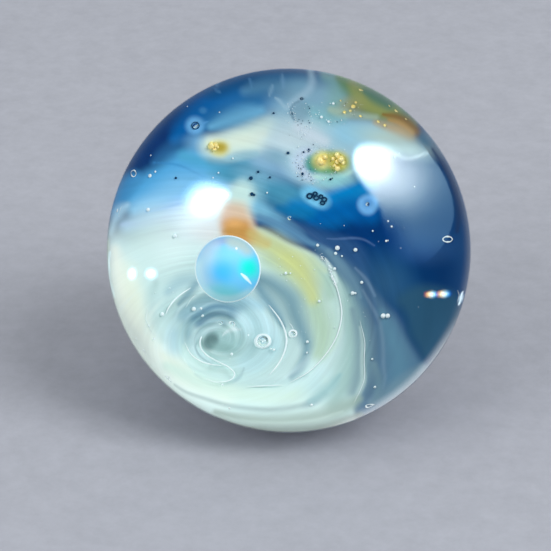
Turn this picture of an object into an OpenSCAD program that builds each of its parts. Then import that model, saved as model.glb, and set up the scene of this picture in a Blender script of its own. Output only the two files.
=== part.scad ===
// Galaxy marble: a clear glass ball over a dish of coloured glass, with an opal
// bead and gold beads sealed inside. All sizes are in millimetres.
//
// The ball sits at the origin with +Z up. Everything inside it is laid out in
// the lens frame, whose own z axis runs from the ball's centre out through the
// middle of the clear lens. lens_tilt turns that frame up from the horizon.

/* [Ball] */
// Diameter of the finished ball
ball_d = 40; // [39:0.5:44]
// Clear glass left over the coloured dish at the back and sides
clear_skin = 0.9; // [0.5:0.1:1.5]
// How far the clear lens faces upward from the horizon, in degrees
lens_tilt = 30; // [0:5:90]

/* [Coloured dish] */
// How far the middle of the dish's face lies behind the ball's centre
dish_sink = 5; // [4:0.5:6]
// How far the dish's rim comes in front of the ball's centre
dish_rise = 3; // [2:0.5:4]

/* [Swirl] */
// Distance of the whirl's eye from the lens axis
eye_off = 8.2; // [7:0.1:9]
// Direction of the eye round the lens axis, in degrees from the right
eye_dir = 230; // [200:1:250]
// How far the middle of the pale glass lies beyond the eye
swirl_lag = 5.8; // [5:0.1:6.5]
// Pale glass left beyond the funnel's mouth on the inner side
swirl_margin = 0.6; // [0.5:0.1:1]
// Depth of the pale glass below the dish's face
swirl_deep = 4.5; // [4.2:0.1:6]
// Blue glass left outside the pale glass at the rim
swirl_wall = 1; // [0.6:0.1:1.5]
// Radius of the funnel where it leaves the dish's face
funnel_r = 8.6; // [8:0.1:9]
// Depth of the funnel below the dish's face
funnel_deep = 3; // [2:0.1:3.5]
// Radius of the flat at the bottom of the funnel
throat_r = 0.9; // [0.6:0.1:1.2]

/* [White canes] */
// Thickness of the cane that winds down the funnel
cane_d = 0.5; // [0.3:0.05:0.6]
// Distance of the cane's inner end from the eye
cane_start = 1.9; // [1.6:0.1:2.5]
// Growth of the cane's radius with each half turn
cane_step = 0.85; // [0.7:0.05:0.9]
// Number of half turns that the cane makes
cane_halves = 6; // [3:1:7]
// How much each half turn falls short at either end, in degrees
cane_gap = 8; // [4:1:30]
// Thickness of the fine threads
thread_d = 0.26; // [0.2:0.02:0.3]

/* [Streaks and patch] */
// How far an inlaid streak stands above the dish's face
inlay_proud = 0.15; // [0.1:0.05:0.3]
// How deep an inlaid streak goes into the dish
inlay_deep = 1.2; // [0.8:0.1:1.6]
// Outer radius of the amber band round the eye
amber_r = 8.8; // [8.7:0.1:9]
// Width of the amber band at its head
amber_w = 2.2; // [1.6:0.1:2.4]
// Direction of the band's head from the eye, in degrees
amber_head = 82; // [75:1:90]
// How far the band sweeps round the eye, in degrees
amber_sweep = 84; // [60:1:90]
// Size of the orange knot at the head of the band
knot_d = 2.8; // [2:0.1:3.2]
// Width of the comet's streak at its round head
comet_head_w = 1.8; // [1.2:0.1:2.2]
// Width of the comet's streak at its round tail
comet_tail_w = 3.4; // [2.5:0.1:4]
// Length of the comet's streak from the middle of its head to that of its tail
comet_l = 5.5; // [4.5:0.5:6]
// Direction in which the comet's tail points, in degrees from the right
comet_dir = 13; // [5:1:25]

/* [Opal] */
// Diameter of the opal bead
opal_d = 6; // [5:0.5:6.5]
// Height of the opal's centre in front of the ball's centre
opal_z = 7.6; // [6:0.1:9]
// Distance of the opal from the lens axis
opal_off = 5.5; // [4:0.1:6.5]
// Direction of the opal round the lens axis, in degrees from the right
opal_dir = 196; // [180:1:215]

/* [Hidden] */
$fn = 96;

ball_r = ball_d / 2;
bowl_r = ball_r - clear_skin;
// The dish's face is part of a sphere: this finds its radius from its rim and its sink
rim_r = sqrt(bowl_r * bowl_r - dish_rise * dish_rise);
dish_h = dish_sink + dish_rise;
dish_r = (rim_r * rim_r + dish_h * dish_h) / (2 * dish_h);
dish_cz = dish_r - dish_sink;

// The funnel's wall is an arc that leaves the dish's face smoothly at the mouth
// and passes through the edge of the flat at the bottom
mouth_a = asin(funnel_r / dish_r);
mouth_z = dish_r - sqrt(dish_r * dish_r - funnel_r * funnel_r);
fall_x = funnel_r - throat_r;
fall_z = mouth_z + funnel_deep;
wall_r = (fall_x * fall_x + fall_z * fall_z)
    / (2 * (fall_z * cos(mouth_a) - fall_x * sin(mouth_a)));
wall_cx = funnel_r + wall_r * sin(mouth_a);
wall_cz = mouth_z - wall_r * cos(mouth_a);

// The pale glass is a round pool that takes in the whole of the funnel's mouth
swirl_r = swirl_lag + funnel_r + swirl_margin;

// Room that cutting shapes take beyond what they cut
over = 2;

// Gold beads on the dish: distance from the lens axis, direction, diameter
GOLD = [
    [9.2, 126, 0.9], [8.5, 123, 0.35], [6.7, 69, 0.8], [7.1, 60.5, 0.85],
    [7.6, 64.5, 0.4], [13.6, 64, 0.4], [12.2, 66, 0.35], [11.4, 68, 0.45],
    [12.6, 51, 0.4], [12.9, 47, 0.45], [11.6, 53, 0.4], [11.4, 49.5, 0.35],
    [11.4, 62, 0.35], [11.2, 76, 0.3], [12.9, 60, 0.35], [13.4, 55, 0.3],
    [12.2, 44, 0.35], [13.3, 43, 0.35]
];

// Green and brown blotches on the dish: distance, direction, diameter. The last
// one is the nest that holds the twin beads.
BLOTCHES = [
    [11.6, 70, 3.2], [12.4, 60, 3.6], [13.0, 49, 3.2], [13.2, 41, 2.4], [7, 64.5, 2.8]
];

// Gas bubbles in the clear glass: distance, direction, height, diameter
BUBBLES = [
    [6.6, 254, -1.6, 0.8], [3.4, 246, -2.2, 0.4], [8.7, 232, -1.8, 0.35],
    [7.6, 240, -1.8, 0.3], [13.2, 4, -0.4, 0.5], [12.4, 344, -0.8, 0.45],
    [12.0, 346, -1.3, 0.4], [7.4, 31, -2.4, 0.4], [11.8, 127, -0.9, 0.45],
    [4.4, 62, -3.6, 0.3], [4.0, 57, -3.7, 0.35], [4.9, 65, -3.5, 0.3],
    [4.5, 52, -3.5, 0.35], [9.6, 304, -1.9, 0.45],
    [6.6, 334, -2.2, 0.35], [15.6, 152, 2.2, 0.4], [10.4, 213, -0.6, 0.35]
];

// Turns a shape that is laid out in the lens frame to where the lens faces
module lens_frame() {
    rotate([90 - lens_tilt, 0, 0])
        children();
}

// Stands a shape on the dish's face, off the lens axis by a distance along a
// direction, with its own z axis square to the face
module on_dish(off, dir, above = 0) {
    rotate([0, 0, dir])
        translate([0, 0, dish_cz])
            rotate([0, -asin(off / dish_r), 0])
                translate([0, 0, above - dish_r])
                    children();
}

// Places a shape round the swirl's eye. Its x axis keeps to the lens frame's
// right, so that directions round the eye read as they do round the lens axis.
module round_eye() {
    on_dish(eye_off, eye_dir)
        rotate([0, 0, -eye_dir])
            children();
}

// All the coloured glass in one lump: a ball with a hollow face
module bowl() {
    difference() {
        sphere(r = bowl_r);
        translate([0, 0, dish_cz])
            sphere(r = dish_r);
    }
}

// A layer that follows the dish's face, from a little above it down to a depth
module face_layer(proud, deep) {
    translate([0, 0, dish_cz])
        difference() {
            sphere(r = dish_r + deep);
            sphere(r = dish_r - proud);
        }
}

// The hollow of the whirlpool: a trumpet that narrows to a flat
module funnel() {
    round_eye()
        rotate_extrude()
            difference() {
                translate([0, -funnel_deep])
                    square([funnel_r, funnel_deep + mouth_z + over]);
                translate([wall_cx, wall_cz])
                    circle(r = wall_r);
            }
}

// Height of the funnel's wall at a distance from the eye
function wall_z(rho) = wall_cz + sqrt(wall_r * wall_r - pow(wall_cx - rho, 2));

// One half turn of the cane. It runs from distance a on one side of the eye to
// distance b on the other, and it tilts so that it follows the funnel's wall.
// The cane was broken at each half turn as the funnel was drawn down.
module cane_half(a, b) {
    run = a + b;
    rise = wall_z(b) - wall_z(a);
    translate([(a - b) / 2, 0, (wall_z(a) + wall_z(b)) / 2])
        rotate([0, atan2(rise, run), 0])
            rotate([0, 0, cane_gap])
                rotate_extrude(angle = 180 - 2 * cane_gap)
                    translate([norm([run, rise]) / 2, 0])
                        circle(d = cane_d, $fn = 32);
}

// The cane that winds down the funnel, as half turns of growing radius
module spiral_cane() {
    round_eye()
        for (i = [0:cane_halves - 1])
            rotate([0, 0, 180 * i])
                cane_half(cane_start + i * cane_step, cane_start + (i + 1) * cane_step);
}

// A fine thread that follows the funnel's wall at one distance from the eye
module thread_arc(rho, from, to) {
    round_eye()
        rotate([0, 0, from])
            rotate_extrude(angle = to - from)
                translate([rho, wall_z(rho)])
                    circle(d = thread_d, $fn = 24);
}

module threads() {
    thread_arc(7.9, -95, -25);
    thread_arc(8.2, 5, 48);
}

module canes() {
    spiral_cane();
    threads();
}

// The outline of the pale glass: a pool whose middle lies beyond the eye, so that
// it runs on to the dish's rim on that side
module swirl_area() {
    rotate([0, 0, eye_dir])
        translate([eye_off + swirl_lag, 0, -ball_r])
            cylinder(r = swirl_r, h = ball_d);
}

// The bed that the pale glass fills, open towards the dish's face
module swirl_bed() {
    intersection() {
        face_layer(over, swirl_deep);
        swirl_area();
        sphere(r = bowl_r - swirl_wall);
    }
}

// The amber band is a crescent: a sector of a disc, less the same disc moved
// away from the head by the band's width, so that it thins towards its tail
module amber_band() {
    difference() {
        rotate([0, 0, amber_head - amber_sweep])
            rotate_extrude(angle = amber_sweep)
                translate([amber_r / 2, -over])
                    square([amber_r / 2, 2 * over]);
        rotate([0, 0, amber_head])
            translate([-amber_w, 0, -2 * over])
                cylinder(r = amber_r, h = 4 * over);
    }
}

module amber_area() {
    round_eye() {
        amber_band();
        rotate([0, 0, amber_head])
            translate([amber_r - amber_w / 4, 0, -over])
                cylinder(d = knot_d, h = 3 * over);
    }
}

// The comet's streak is a cone with round ends that lies along the dish's face.
// It starts at the first gold bead and heads to the right and a little up.
module comet_area() {
    on_dish(GOLD[0][0], GOLD[0][1])
        rotate([0, 0, comet_dir - GOLD[0][1]])
            rotate([0, 90, 0]) {
                sphere(d = comet_head_w);
                cylinder(d1 = comet_head_w, d2 = comet_tail_w, h = comet_l);
                translate([0, 0, comet_l])
                    sphere(d = comet_tail_w);
            }
}

module patch_area() {
    for (b = BLOTCHES)
        on_dish(b[0], b[1])
            translate([0, 0, -over])
                cylinder(d = b[2], h = 2 * over);
}

module inlay() {
    intersection() {
        face_layer(inlay_proud, inlay_deep);
        children();
    }
}

module gold() {
    for (g = GOLD)
        on_dish(g[0], g[1], inlay_proud)
            sphere(d = g[2], $fn = 24);
}

module bubbles() {
    for (b = BUBBLES)
        rotate([0, 0, b[1]])
            translate([b[0], 0, b[2]])
                sphere(d = b[3], $fn = 24);
}

module opal_ball() {
    rotate([0, 0, opal_dir])
        translate([opal_off, 0, opal_z])
            sphere(d = opal_d);
}

module clear_glass() {
    color([0.92, 0.97, 1.0, 0.25])
        lens_frame()
            difference() {
                sphere(r = ball_r);
                difference() {
                    bowl();
                    funnel();
                }
                inlay()
                    amber_area();
                inlay()
                    comet_area();
                inlay()
                    patch_area();
                canes();
                gold();
                opal_ball();
                bubbles();
            }
}

module blue_ground() {
    color([0.03, 0.22, 0.45])
        lens_frame()
            difference() {
                bowl();
                swirl_bed();
                inlay()
                    amber_area();
                inlay()
                    comet_area();
                inlay()
                    patch_area();
                gold();
            }
}

module pale_swirl() {
    color([0.78, 0.9, 0.88])
        lens_frame()
            difference() {
                intersection() {
                    bowl();
                    swirl_bed();
                }
                funnel();
                inlay()
                    amber_area();
                canes();
            }
}

module white_canes() {
    color([0.95, 0.97, 0.98])
        lens_frame()
            canes();
}

module amber_streak() {
    color([0.85, 0.62, 0.3])
        lens_frame()
            difference() {
                inlay()
                    amber_area();
                canes();
            }
}

module comet_streak() {
    color([0.9, 0.92, 0.8])
        lens_frame()
            difference() {
                inlay()
                    comet_area();
                gold();
            }
}

module green_patch() {
    color([0.35, 0.5, 0.25])
        lens_frame()
            difference() {
                inlay()
                    patch_area();
                gold();
            }
}

module gold_flecks() {
    color([0.85, 0.65, 0.2])
        lens_frame()
            gold();
}

module opal() {
    color([0.45, 0.75, 0.95])
        lens_frame()
            opal_ball();
}

clear_glass();
blue_ground();
pale_swirl();
white_canes();
amber_streak();
comet_streak();
green_patch();
gold_flecks();
opal();
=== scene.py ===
# %% [markdown]
# # A galaxy marble in glass
#
# The object is one solid glass ball, 40 mm across. The front is clear and acts
# as a strong lens. Behind it lies a shallow dish of coloured glass: deep blue,
# hazy light blues, a pale whirlpool drawn down at one side, a cream comet and a
# green and gold patch. A polished opal bead hangs in the clear glass in front.
#
# A maker builds such a marble from the back: colour is laid on a disc, drawn
# down in a spiral with a rod, then covered with clear glass, which magnifies
# all of it. This file follows that order, and everything is placed as it is
# seen through the lens, because that is how the maker judges it.

# %% The frame that every piece shares
import bpy
import numpy as np
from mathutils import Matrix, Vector


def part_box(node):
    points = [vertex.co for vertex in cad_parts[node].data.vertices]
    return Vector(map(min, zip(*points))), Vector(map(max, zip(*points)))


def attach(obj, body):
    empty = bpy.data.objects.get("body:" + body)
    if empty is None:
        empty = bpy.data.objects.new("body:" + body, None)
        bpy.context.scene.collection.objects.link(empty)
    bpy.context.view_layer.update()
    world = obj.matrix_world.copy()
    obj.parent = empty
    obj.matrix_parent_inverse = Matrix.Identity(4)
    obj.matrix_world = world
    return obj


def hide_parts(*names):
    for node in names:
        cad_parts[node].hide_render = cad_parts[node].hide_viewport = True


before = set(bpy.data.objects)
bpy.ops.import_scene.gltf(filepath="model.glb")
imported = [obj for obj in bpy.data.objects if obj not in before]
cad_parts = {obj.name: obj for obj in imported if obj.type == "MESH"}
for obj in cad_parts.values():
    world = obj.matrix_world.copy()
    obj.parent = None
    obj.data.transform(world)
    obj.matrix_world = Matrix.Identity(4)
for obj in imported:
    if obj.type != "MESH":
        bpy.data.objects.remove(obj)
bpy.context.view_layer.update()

MM = 0.001
ball_low, ball_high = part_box("clear_glass")
BALL_R = (ball_high.x - ball_low.x) / 2 / MM
print(f"the ball is {2 * BALL_R:.1f} mm across")

# %% [markdown]
# ## The lens frame
#
# The clear side faces forward and 30 degrees up. All the work inside the ball
# is laid out in the lens's own directions: right, up the face, and out through
# the lens. One function turns such places, in millimetres, into metres in the
# shared frame, and every piece goes through it.

# %% Directions of the lens
LENS_TILT = np.radians(30)
RIGHT = np.array([1.0, 0.0, 0.0])
UP = np.array([0.0, np.sin(LENS_TILT), np.cos(LENS_TILT)])
OUT = np.array([0.0, -np.cos(LENS_TILT), np.sin(LENS_TILT)])


def to_frame(places):
    """Lens places in millimetres to the shared frame in metres: the sum of each
    coordinate times its direction."""
    return (places @ np.array([RIGHT, UP, OUT])) * MM


# %% [markdown]
# ## The dish behind the lens
#
# The coloured glass is a ball whose radius is 0.9 mm less than the marble's,
# with a hollow face that is part of a larger sphere. The whirl is a funnel in
# that face: its wall is an arc that leaves the dish smoothly at the mouth and
# ends at a small flat. These are the dimensions that the construction uses.

# %% Dimensions of the dish and the funnel, in millimetres
CLEAR_SKIN, DISH_SINK, DISH_RISE = 0.9, 5.0, 3.0
BOWL_R = BALL_R - CLEAR_SKIN
RIM_R = np.sqrt(BOWL_R**2 - DISH_RISE**2)
DISH_R = (RIM_R**2 + (DISH_SINK + DISH_RISE) ** 2) / (2 * (DISH_SINK + DISH_RISE))
DISH_CENTRE = DISH_R - DISH_SINK

EYE_OFF, EYE_DIRECTION = 8.2, np.radians(230)
FUNNEL_R, FUNNEL_DEEP, THROAT_R = 8.6, 3.0, 0.9
MOUTH_A = np.arcsin(FUNNEL_R / DISH_R)
MOUTH_Z = DISH_R * (1 - np.cos(MOUTH_A))
FALL_X, FALL_Z = FUNNEL_R - THROAT_R, MOUTH_Z + FUNNEL_DEEP
WALL_R = (FALL_X**2 + FALL_Z**2) / (2 * (FALL_Z * np.cos(MOUTH_A) - FALL_X * np.sin(MOUTH_A)))
WALL_X = FUNNEL_R + WALL_R * np.sin(MOUTH_A)
WALL_Z = MOUTH_Z - WALL_R * np.cos(MOUTH_A)

# The eye's own axes: outward along the direction, sideways, and square to the dish
TIP = np.arcsin(EYE_OFF / DISH_R)
OUTWARD = np.array([np.cos(EYE_DIRECTION), np.sin(EYE_DIRECTION), 0.0])
EYE_UP = np.array([0, 0, np.cos(TIP)]) - OUTWARD * np.sin(TIP)
EYE_OUTWARD = OUTWARD * np.cos(TIP) + np.array([0, 0, np.sin(TIP)])
EYE_SIDE = np.cross(EYE_UP, EYE_OUTWARD)
EYE = np.array([0, 0, DISH_CENTRE]) - EYE_UP * DISH_R
print(f"dish radius {DISH_R:.2f} mm, funnel wall radius {WALL_R:.2f} mm")


def dish_z(r):
    """Height of the dish's face at distance r from the lens axis: the centre's
    height less the root of the radius squared minus r squared."""
    return DISH_CENTRE - np.sqrt(DISH_R**2 - r**2)


def drawn_down(places):
    """Sinks dish places into the funnel. In the eye's axes, a place nearer than
    the mouth takes the height of the wall's arc at its distance from the eye."""
    local = places - EYE
    out, side = local @ EYE_OUTWARD, local @ EYE_SIDE
    rho = np.hypot(out, side)
    on_wall = np.clip(rho, THROAT_R, FUNNEL_R)
    wall = WALL_Z + np.sqrt(WALL_R**2 - (WALL_X - on_wall) ** 2)
    height = np.where(rho < FUNNEL_R, wall, local @ EYE_UP)
    return EYE + out[:, None] * EYE_OUTWARD + side[:, None] * EYE_SIDE + height[:, None] * EYE_UP

# %% [markdown]
# ## What the lens does
#
# A glass ball magnifies its inside: a bead at the middle looks half as large
# again, and the outer fifth of the dish is squeezed into a thin ring. To put a
# streak where it is to be seen, the place is traced back through the lens. The
# front of the ball is a refracting sphere, so one sight line in a plane through
# the axis is enough, and turning it round the axis gives all the others.

# %% Sight lines through the ball, and the radius of its outline in the layout
GLASS_IOR = 1.47
EYE_DISTANCE = 300.0
EDGE_ANGLE = np.arcsin(BALL_R / EYE_DISTANCE)
OUTLINE_SCALE = 1.0085
SEEN_R = OUTLINE_SCALE * BALL_R
HALVINGS, CORRECTIONS = 26, 12


def sight_radius(share, z):
    """Distance from the axis at which a sight line passes height z. The line
    leaves the eye towards a share of the ball's seen radius, meets the sphere
    at an angle whose sine is its miss distance over the radius, bends by
    Snell's law, and runs straight on."""
    a = np.arctan(share * np.tan(EDGE_ANGLE))
    miss = EYE_DISTANCE * np.sin(a) / BALL_R
    into, bent = np.arcsin(np.clip(miss, -1, 1)), np.arcsin(miss / GLASS_IOR)
    round_ball = into - a
    slope = np.tan(into - bent - a)
    return BALL_R * np.sin(round_ball) - (BALL_R * np.cos(round_ball) - z) * slope


def seen_at(places):
    """Where lens places are seen, in millimetres from the middle of the lens.
    The share is found by halving: each step tests whether the sight line passes
    inside or outside the place."""
    r = np.hypot(places[:, 0], places[:, 1])
    low, high = np.zeros(len(r)), np.ones(len(r))
    for _ in range(HALVINGS):
        middle = (low + high) / 2
        beyond = sight_radius(middle, places[:, 2]) > r
        low, high = np.where(beyond, low, middle), np.where(beyond, middle, high)
    scale = SEEN_R * low / np.maximum(r, 1e-9)
    return places[:, 0] * scale, places[:, 1] * scale


def at_height(x, y, z):
    """The lens place at height z that is seen at x, y."""
    seen = np.hypot(x, y)
    r = sight_radius(np.minimum(seen / SEEN_R, 1), z)
    scale = r / np.maximum(seen, 1e-9)
    return np.stack([x * scale, y * scale, z + 0 * scale], -1)


SEEN_LIMIT = 19.5


def on_face(x, y):
    """The place on the coloured face that is seen at x, y. It starts on the
    plain dish and is corrected a few times: each time the face's height there
    is taken, and the sight line is followed to that height."""
    x, y = np.asarray(x, float), np.asarray(y, float)
    inside = np.minimum(1, SEEN_LIMIT / np.maximum(np.hypot(x, y), 1e-9))
    x, y, z = x * inside, y * inside, np.full(x.shape, -DISH_SINK)
    for _ in range(CORRECTIONS):
        place = at_height(x, y, z)
        r = np.minimum(np.hypot(place[:, 0], place[:, 1]), RIM_R)
        z = drawn_down(np.stack([place[:, 0], place[:, 1], dish_z(r)], -1))[:, 2]
    return at_height(x, y, z)


shifted_x, _ = seen_at(np.array([[5, 0, dish_z(5.0)]]))
print(f"a place 5 mm off the axis on the dish is seen {shifted_x[0]:.1f} mm off")

# %% [markdown]
# ## From points to a piece
#
# Most shapes here are skins: rings of points, one after another, closed at both
# ends by a single point. A ball, a bead, a tube and the dish itself are all
# that. One function joins such rings with triangles, and one makes a Blender
# object of the result, in the shared frame and riding on the marble's body.

# %% Skins and pieces
def skin(rings):
    """Points and triangles of a closed skin. Ring i joins ring i + 1 point by
    point, and the first and last rings are closed by a fan to their mean."""
    rows, columns = rings.shape[:2]
    points = np.vstack([rings.reshape(-1, 3), rings[:1].mean(1), rings[-1:].mean(1)])
    here = np.arange(columns)
    after = (here + 1) % columns
    row = (np.arange(rows - 1) * columns)[:, None]
    a, b, c, d = row + here, row + after, row + columns + here, row + columns + after
    first, last = rows * columns, rows * columns + 1
    end = (rows - 1) * columns
    triangles = np.concatenate([
        np.stack([a, c, d], -1).reshape(-1, 3),
        np.stack([a, d, b], -1).reshape(-1, 3),
        np.stack([here, after, np.full(columns, first)], -1),
        np.stack([end + after, end + here, np.full(columns, last)], -1),
    ])
    return points, facing_out(points, triangles)


def facing_out(points, triangles):
    """Turns the triangles round if the volume they enclose comes out negative:
    a sixth of the sum of a . (b x c) over all of them."""
    a, b, c = points[triangles[:, 0]], points[triangles[:, 1]], points[triangles[:, 2]]
    volume = (a * np.cross(b, c)).sum()
    return triangles if volume > 0 else triangles[:, ::-1]


def together(parts):
    """Several shapes as one: each one's triangles count on from the points before."""
    starts = np.cumsum([0] + [len(points) for points, _ in parts[:-1]])
    points = np.vstack([p for p, _ in parts])
    return points, np.vstack([t + start for (_, t), start in zip(parts, starts)])


def sphere_rings(centre, radius, rows, columns):
    """Rings of a sphere: each point is the radius times (sin a cos b, sin a sin
    b, cos a), with a from pole to pole and b round the axis."""
    a = (np.arange(rows) + 0.5) / rows * np.pi
    b = np.arange(columns) / columns * 2 * np.pi
    a, b = np.meshgrid(a, b, indexing="ij")
    unit = np.stack([np.sin(a) * np.cos(b), np.sin(a) * np.sin(b), np.cos(a)], -1)
    return np.asarray(centre) + radius * unit


def piece(name, shape, material, stands_for=(), fields=None):
    """A smooth-shaded piece of the marble from lens points and triangles, with
    its masks as point attributes."""
    points, triangles = shape
    mesh = bpy.data.meshes.new(name)
    mesh.from_pydata(to_frame(points).tolist(), [], triangles.tolist())
    mesh.polygons.foreach_set("use_smooth", np.ones(len(triangles), bool))
    for field, values in (fields or {}).items():
        kind = "FLOAT" if values.ndim == 1 else "FLOAT_VECTOR"
        layer = mesh.attributes.new(field, kind, "POINT")
        layer.data.foreach_set("value" if kind == "FLOAT" else "vector", values.astype("f4").ravel())
    mesh.materials.append(material)
    mesh.update()
    made = bpy.data.objects.new(name, mesh)
    bpy.context.collection.objects.link(made)
    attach(made, "root")
    if stands_for:
        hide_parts(*stands_for)
    print(f"{name}: {len(points)} points, {len(triangles)} triangles")
    return made

# %% [markdown]
# ## Drawing with soft-edged glass
#
# Coloured glass that was melted together has no hard outlines: a streak is a
# line that swells and thins, a drop is a round patch, and a larger field has an
# edge that is soft on one side and crisp on the other. Three shapes are enough
# to lay out the whole dish: a dab, a stroke along a curve, and an area inside a
# closed curve. Each gives a mask from 0 to 1 for every point of the surface,
# all at once, so the same drawing works at any mesh density.

# %% Dabs, strokes and areas
def ramp(x, a, b):
    """Rises from 0 at a to 1 at b with a smooth start and end (3 t^2 - 2 t^3)."""
    t = np.clip((x - a) / (b - a), 0, 1)
    return t * t * (3 - 2 * t)


def curve(points, steps=10, closed=False):
    """Catmull-Rom curve: each span is a cubic through its two points, and its
    slope at a point is half the way from the point before to the point after."""
    p = np.asarray(points, float)
    if closed:
        p = np.vstack([p[-1:], p, p[:2]])
    else:
        p = np.vstack([2 * p[0] - p[1], p, 2 * p[-1] - p[-2]])
    spans = len(p) - 3
    t = np.linspace(0, spans, steps * spans + 1)
    i = np.minimum(t.astype(int), spans - 1)
    f = (t - i)[:, None]
    a, b, c, d = p[i], p[i + 1], p[i + 2], p[i + 3]
    bend = (2 * a - 5 * b + 4 * c - d) * f**2 + (3 * b - 3 * c + d - a) * f**3
    return 0.5 * (2 * b + (c - a) * f + bend)


def dab(x, y, centre, size, turn=0.0, soft=0.5):
    """An ellipse: distance from the centre in half widths, along axes turned by
    an angle in degrees, faded from 1 - soft to 1 + soft."""
    a = np.radians(turn)
    u, v = x - centre[0], y - centre[1]
    along = (u * np.cos(a) + v * np.sin(a)) / size[0]
    across = (v * np.cos(a) - u * np.sin(a)) / size[1]
    return ramp(np.hypot(along, across), 1 + soft, 1 - soft)


def ring(x, y, centre, size, start, end, width):
    """A stretch of an elliptical ring, from one angle to another in degrees. The
    distance from the ring is that of the stretched radius from 1, times the
    mean half width of the ellipse; both ends fade over 25 degrees."""
    u, v = (x - centre[0]) / size[0], (y - centre[1]) / size[1]
    off = np.abs(np.hypot(u, v) - 1) * (size[0] + size[1]) / 2
    middle, half = (start + end) / 2, (end - start) / 2
    turn = np.abs((np.degrees(np.arctan2(v, u)) - middle + 180) % 360 - 180)
    return ramp(off, 2 * width, 0) * ramp(turn, half, half - 25)


def nearest_on(x, y, a, b):
    """Distance to the line from a to b, and how far along it the nearest point
    lies, from 0 to 1: the place's shadow on the line, kept between its ends."""
    run = b[:2] - a[:2]
    t = ((x - a[0]) * run[0] + (y - a[1]) * run[1]) / (run @ run + 1e-12)
    t = np.clip(t, 0, 1)
    return np.hypot(x - a[0] - t * run[0], y - a[1] - t * run[1]), t


def stroke(x, y, points, soft=0.5):
    """A line that swells: points are x, y and half width. The mask is the least
    distance in half widths, faded from 1 - soft to 1 + soft."""
    path = curve(points)
    least = np.full(x.shape, 1e9)
    for a, b in zip(path[:-1], path[1:]):
        gap, t = nearest_on(x, y, a, b)
        least = np.minimum(least, gap / (a[2] + (b[2] - a[2]) * t))
    return ramp(least, 1 + soft, 1 - soft)


def area(x, y, points, soft=0.5):
    """The inside of a closed curve. The mask is the distance to the edge, counted
    negative outside, faded over soft millimetres either way."""
    path = curve(points, 8, True)
    least, inside = np.full(x.shape, 1e9), np.zeros(x.shape, bool)
    for a, b in zip(path[:-1], path[1:]):
        least = np.minimum(least, nearest_on(x, y, a, b)[0])
        left_of = x < (b[0] - a[0]) * (y - a[1]) / (b[1] - a[1] + 1e-12) + a[0]
        inside ^= ((a[1] > y) != (b[1] > y)) & left_of
    return ramp(np.where(inside, least, -least), -soft, soft)

# %% [markdown]
# ## The coloured glasses, laid one over another
#
# The maker lays colour on the dish in an order: deep blue ground first, then
# lighter blues and haze, the pale whirl, and last the small bright things. The
# layout follows that order. Every entry is one application of glass: its name,
# its colour, its shape, how much of the layer below it covers, how strongly the
# flow of the melt drags its edge into streaks, and for lines and areas how soft
# the edge is. Places are in millimetres as seen through the lens, from its
# middle.

# %% The blue ground and the dark upper edge
GROUND = (8, 60, 112)
TOP = [
    ("right_deep", (2, 52, 110), "dab", ((9, 2), (5, 2.6), -12, 0.9), 0.8, 1),
    ("right_blue", (10, 72, 122), "dab", ((12, -2.6), (3, 2), -30, 1), 0.8, 1),
    ("right_night", (3, 50, 100), "dab", ((16.2, -2.2), (2.4, 2.6), 20, 0.9), 0.8, 1),
    ("right_haze", (62, 104, 154), "dab", ((15.2, 0.5), (2.6, 1.5), 0, 1), 0.45, 0),
    ("ink", (2, 48, 108), "stroke",
        [(-18.2, 8.6, 0.7), (-16.2, 10.6, 1.3), (-13.8, 13, 1.3), (-11.6, 15.2, 0.8), (-9.4, 17, 0.5)],
         1, 0, 1),
    ("ink_rim", (6, 56, 112), "stroke",
        [(-18.9, 7.4, 0.5), (-15.9, 12.3, 0.7), (-12.2, 16, 0.7), (-8, 18.6, 0.6)], 0.8, 0, 1),
    ("cobalt", (0, 100, 172), "stroke",
        [(-12.6, 12.4, 0.6), (-11.2, 13.8, 1.2), (-9.2, 15.8, 1.3), (-6, 17.4, 1.1)], 0.95, 1, 1),
    ("top_blue", (8, 82, 136), "stroke",
        [(-8.4, 17.6, 0.8), (-6.4, 18.2, 0.9), (-4.6, 19, 0.9), (1, 19.6, 0.8), (5, 19.2, 0.8)],
         0.9, 1, 1),
    ("top_mist", (96, 150, 182), "stroke",
        [(-4.8, 17.6, 0.5), (-3, 18, 0.8), (-0.6, 18.2, 0.9), (1.4, 18.4, 0.7)], 0.75, 1, 1.1),
    ("steel", (58, 134, 188), "stroke",
        [(-9.6, 13.8, 0.6), (-7, 15, 1.1), (-4, 15.9, 1.4), (-1.4, 16.2, 1)], 0.75, 2, 1.1),
    ("top_haze", (150, 194, 214), "area",
        [(-1.8, 16.2), (-0.6, 17.4), (1, 18.4), (4.6, 18.8), (7, 17.2), (5, 14.4), (-1, 14.4)],
         0.85, 1, 1.8),
    ("top_wisps", (168, 200, 218), "stroke",
        [(2.3, 20, 0.25), (2.5, 18.7, 0.4), (2, 17.6, 0.4), (0.7, 16.6, 0.35), (-0.2, 15.8, 0.3)],
         0.75, 1, 1.1),
    ("top_wisp_b", (124, 168, 202), "stroke",
        [(-0.8, 19.5, 0.1), (-0.7, 18.8, 0.2), (-0.6, 18, 0.12)], 0.5, 1, 1.1),
    ("top_wisp_c", (146, 186, 212), "stroke",
        [(-1.8, 18.3, 0.1), (-2, 17.7, 0.2), (-2.2, 17.1, 0.1)], 0.5, 1, 1.1),
    ("top_wisp_f", (166, 200, 218), "stroke",
        [(-1.5, 16.9, 0.1), (-1, 16.5, 0.2), (-0.6, 15.9, 0.15)], 0.6, 1, 1.1),
    ("top_wisp_e", (92, 148, 192), "stroke",
        [(-4.4, 19, 0.08), (-4.2, 18.5, 0.14), (-4.1, 18, 0.08)], 0.5, 1, 1.1),
    ("top_wisp_d", (84, 144, 190), "ring", ((-7.7, 18), (0.35, 0.5), 60, 300, 0.12), 0.6, 0, 1),
]
print("deep blues:", len(TOP))

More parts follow.
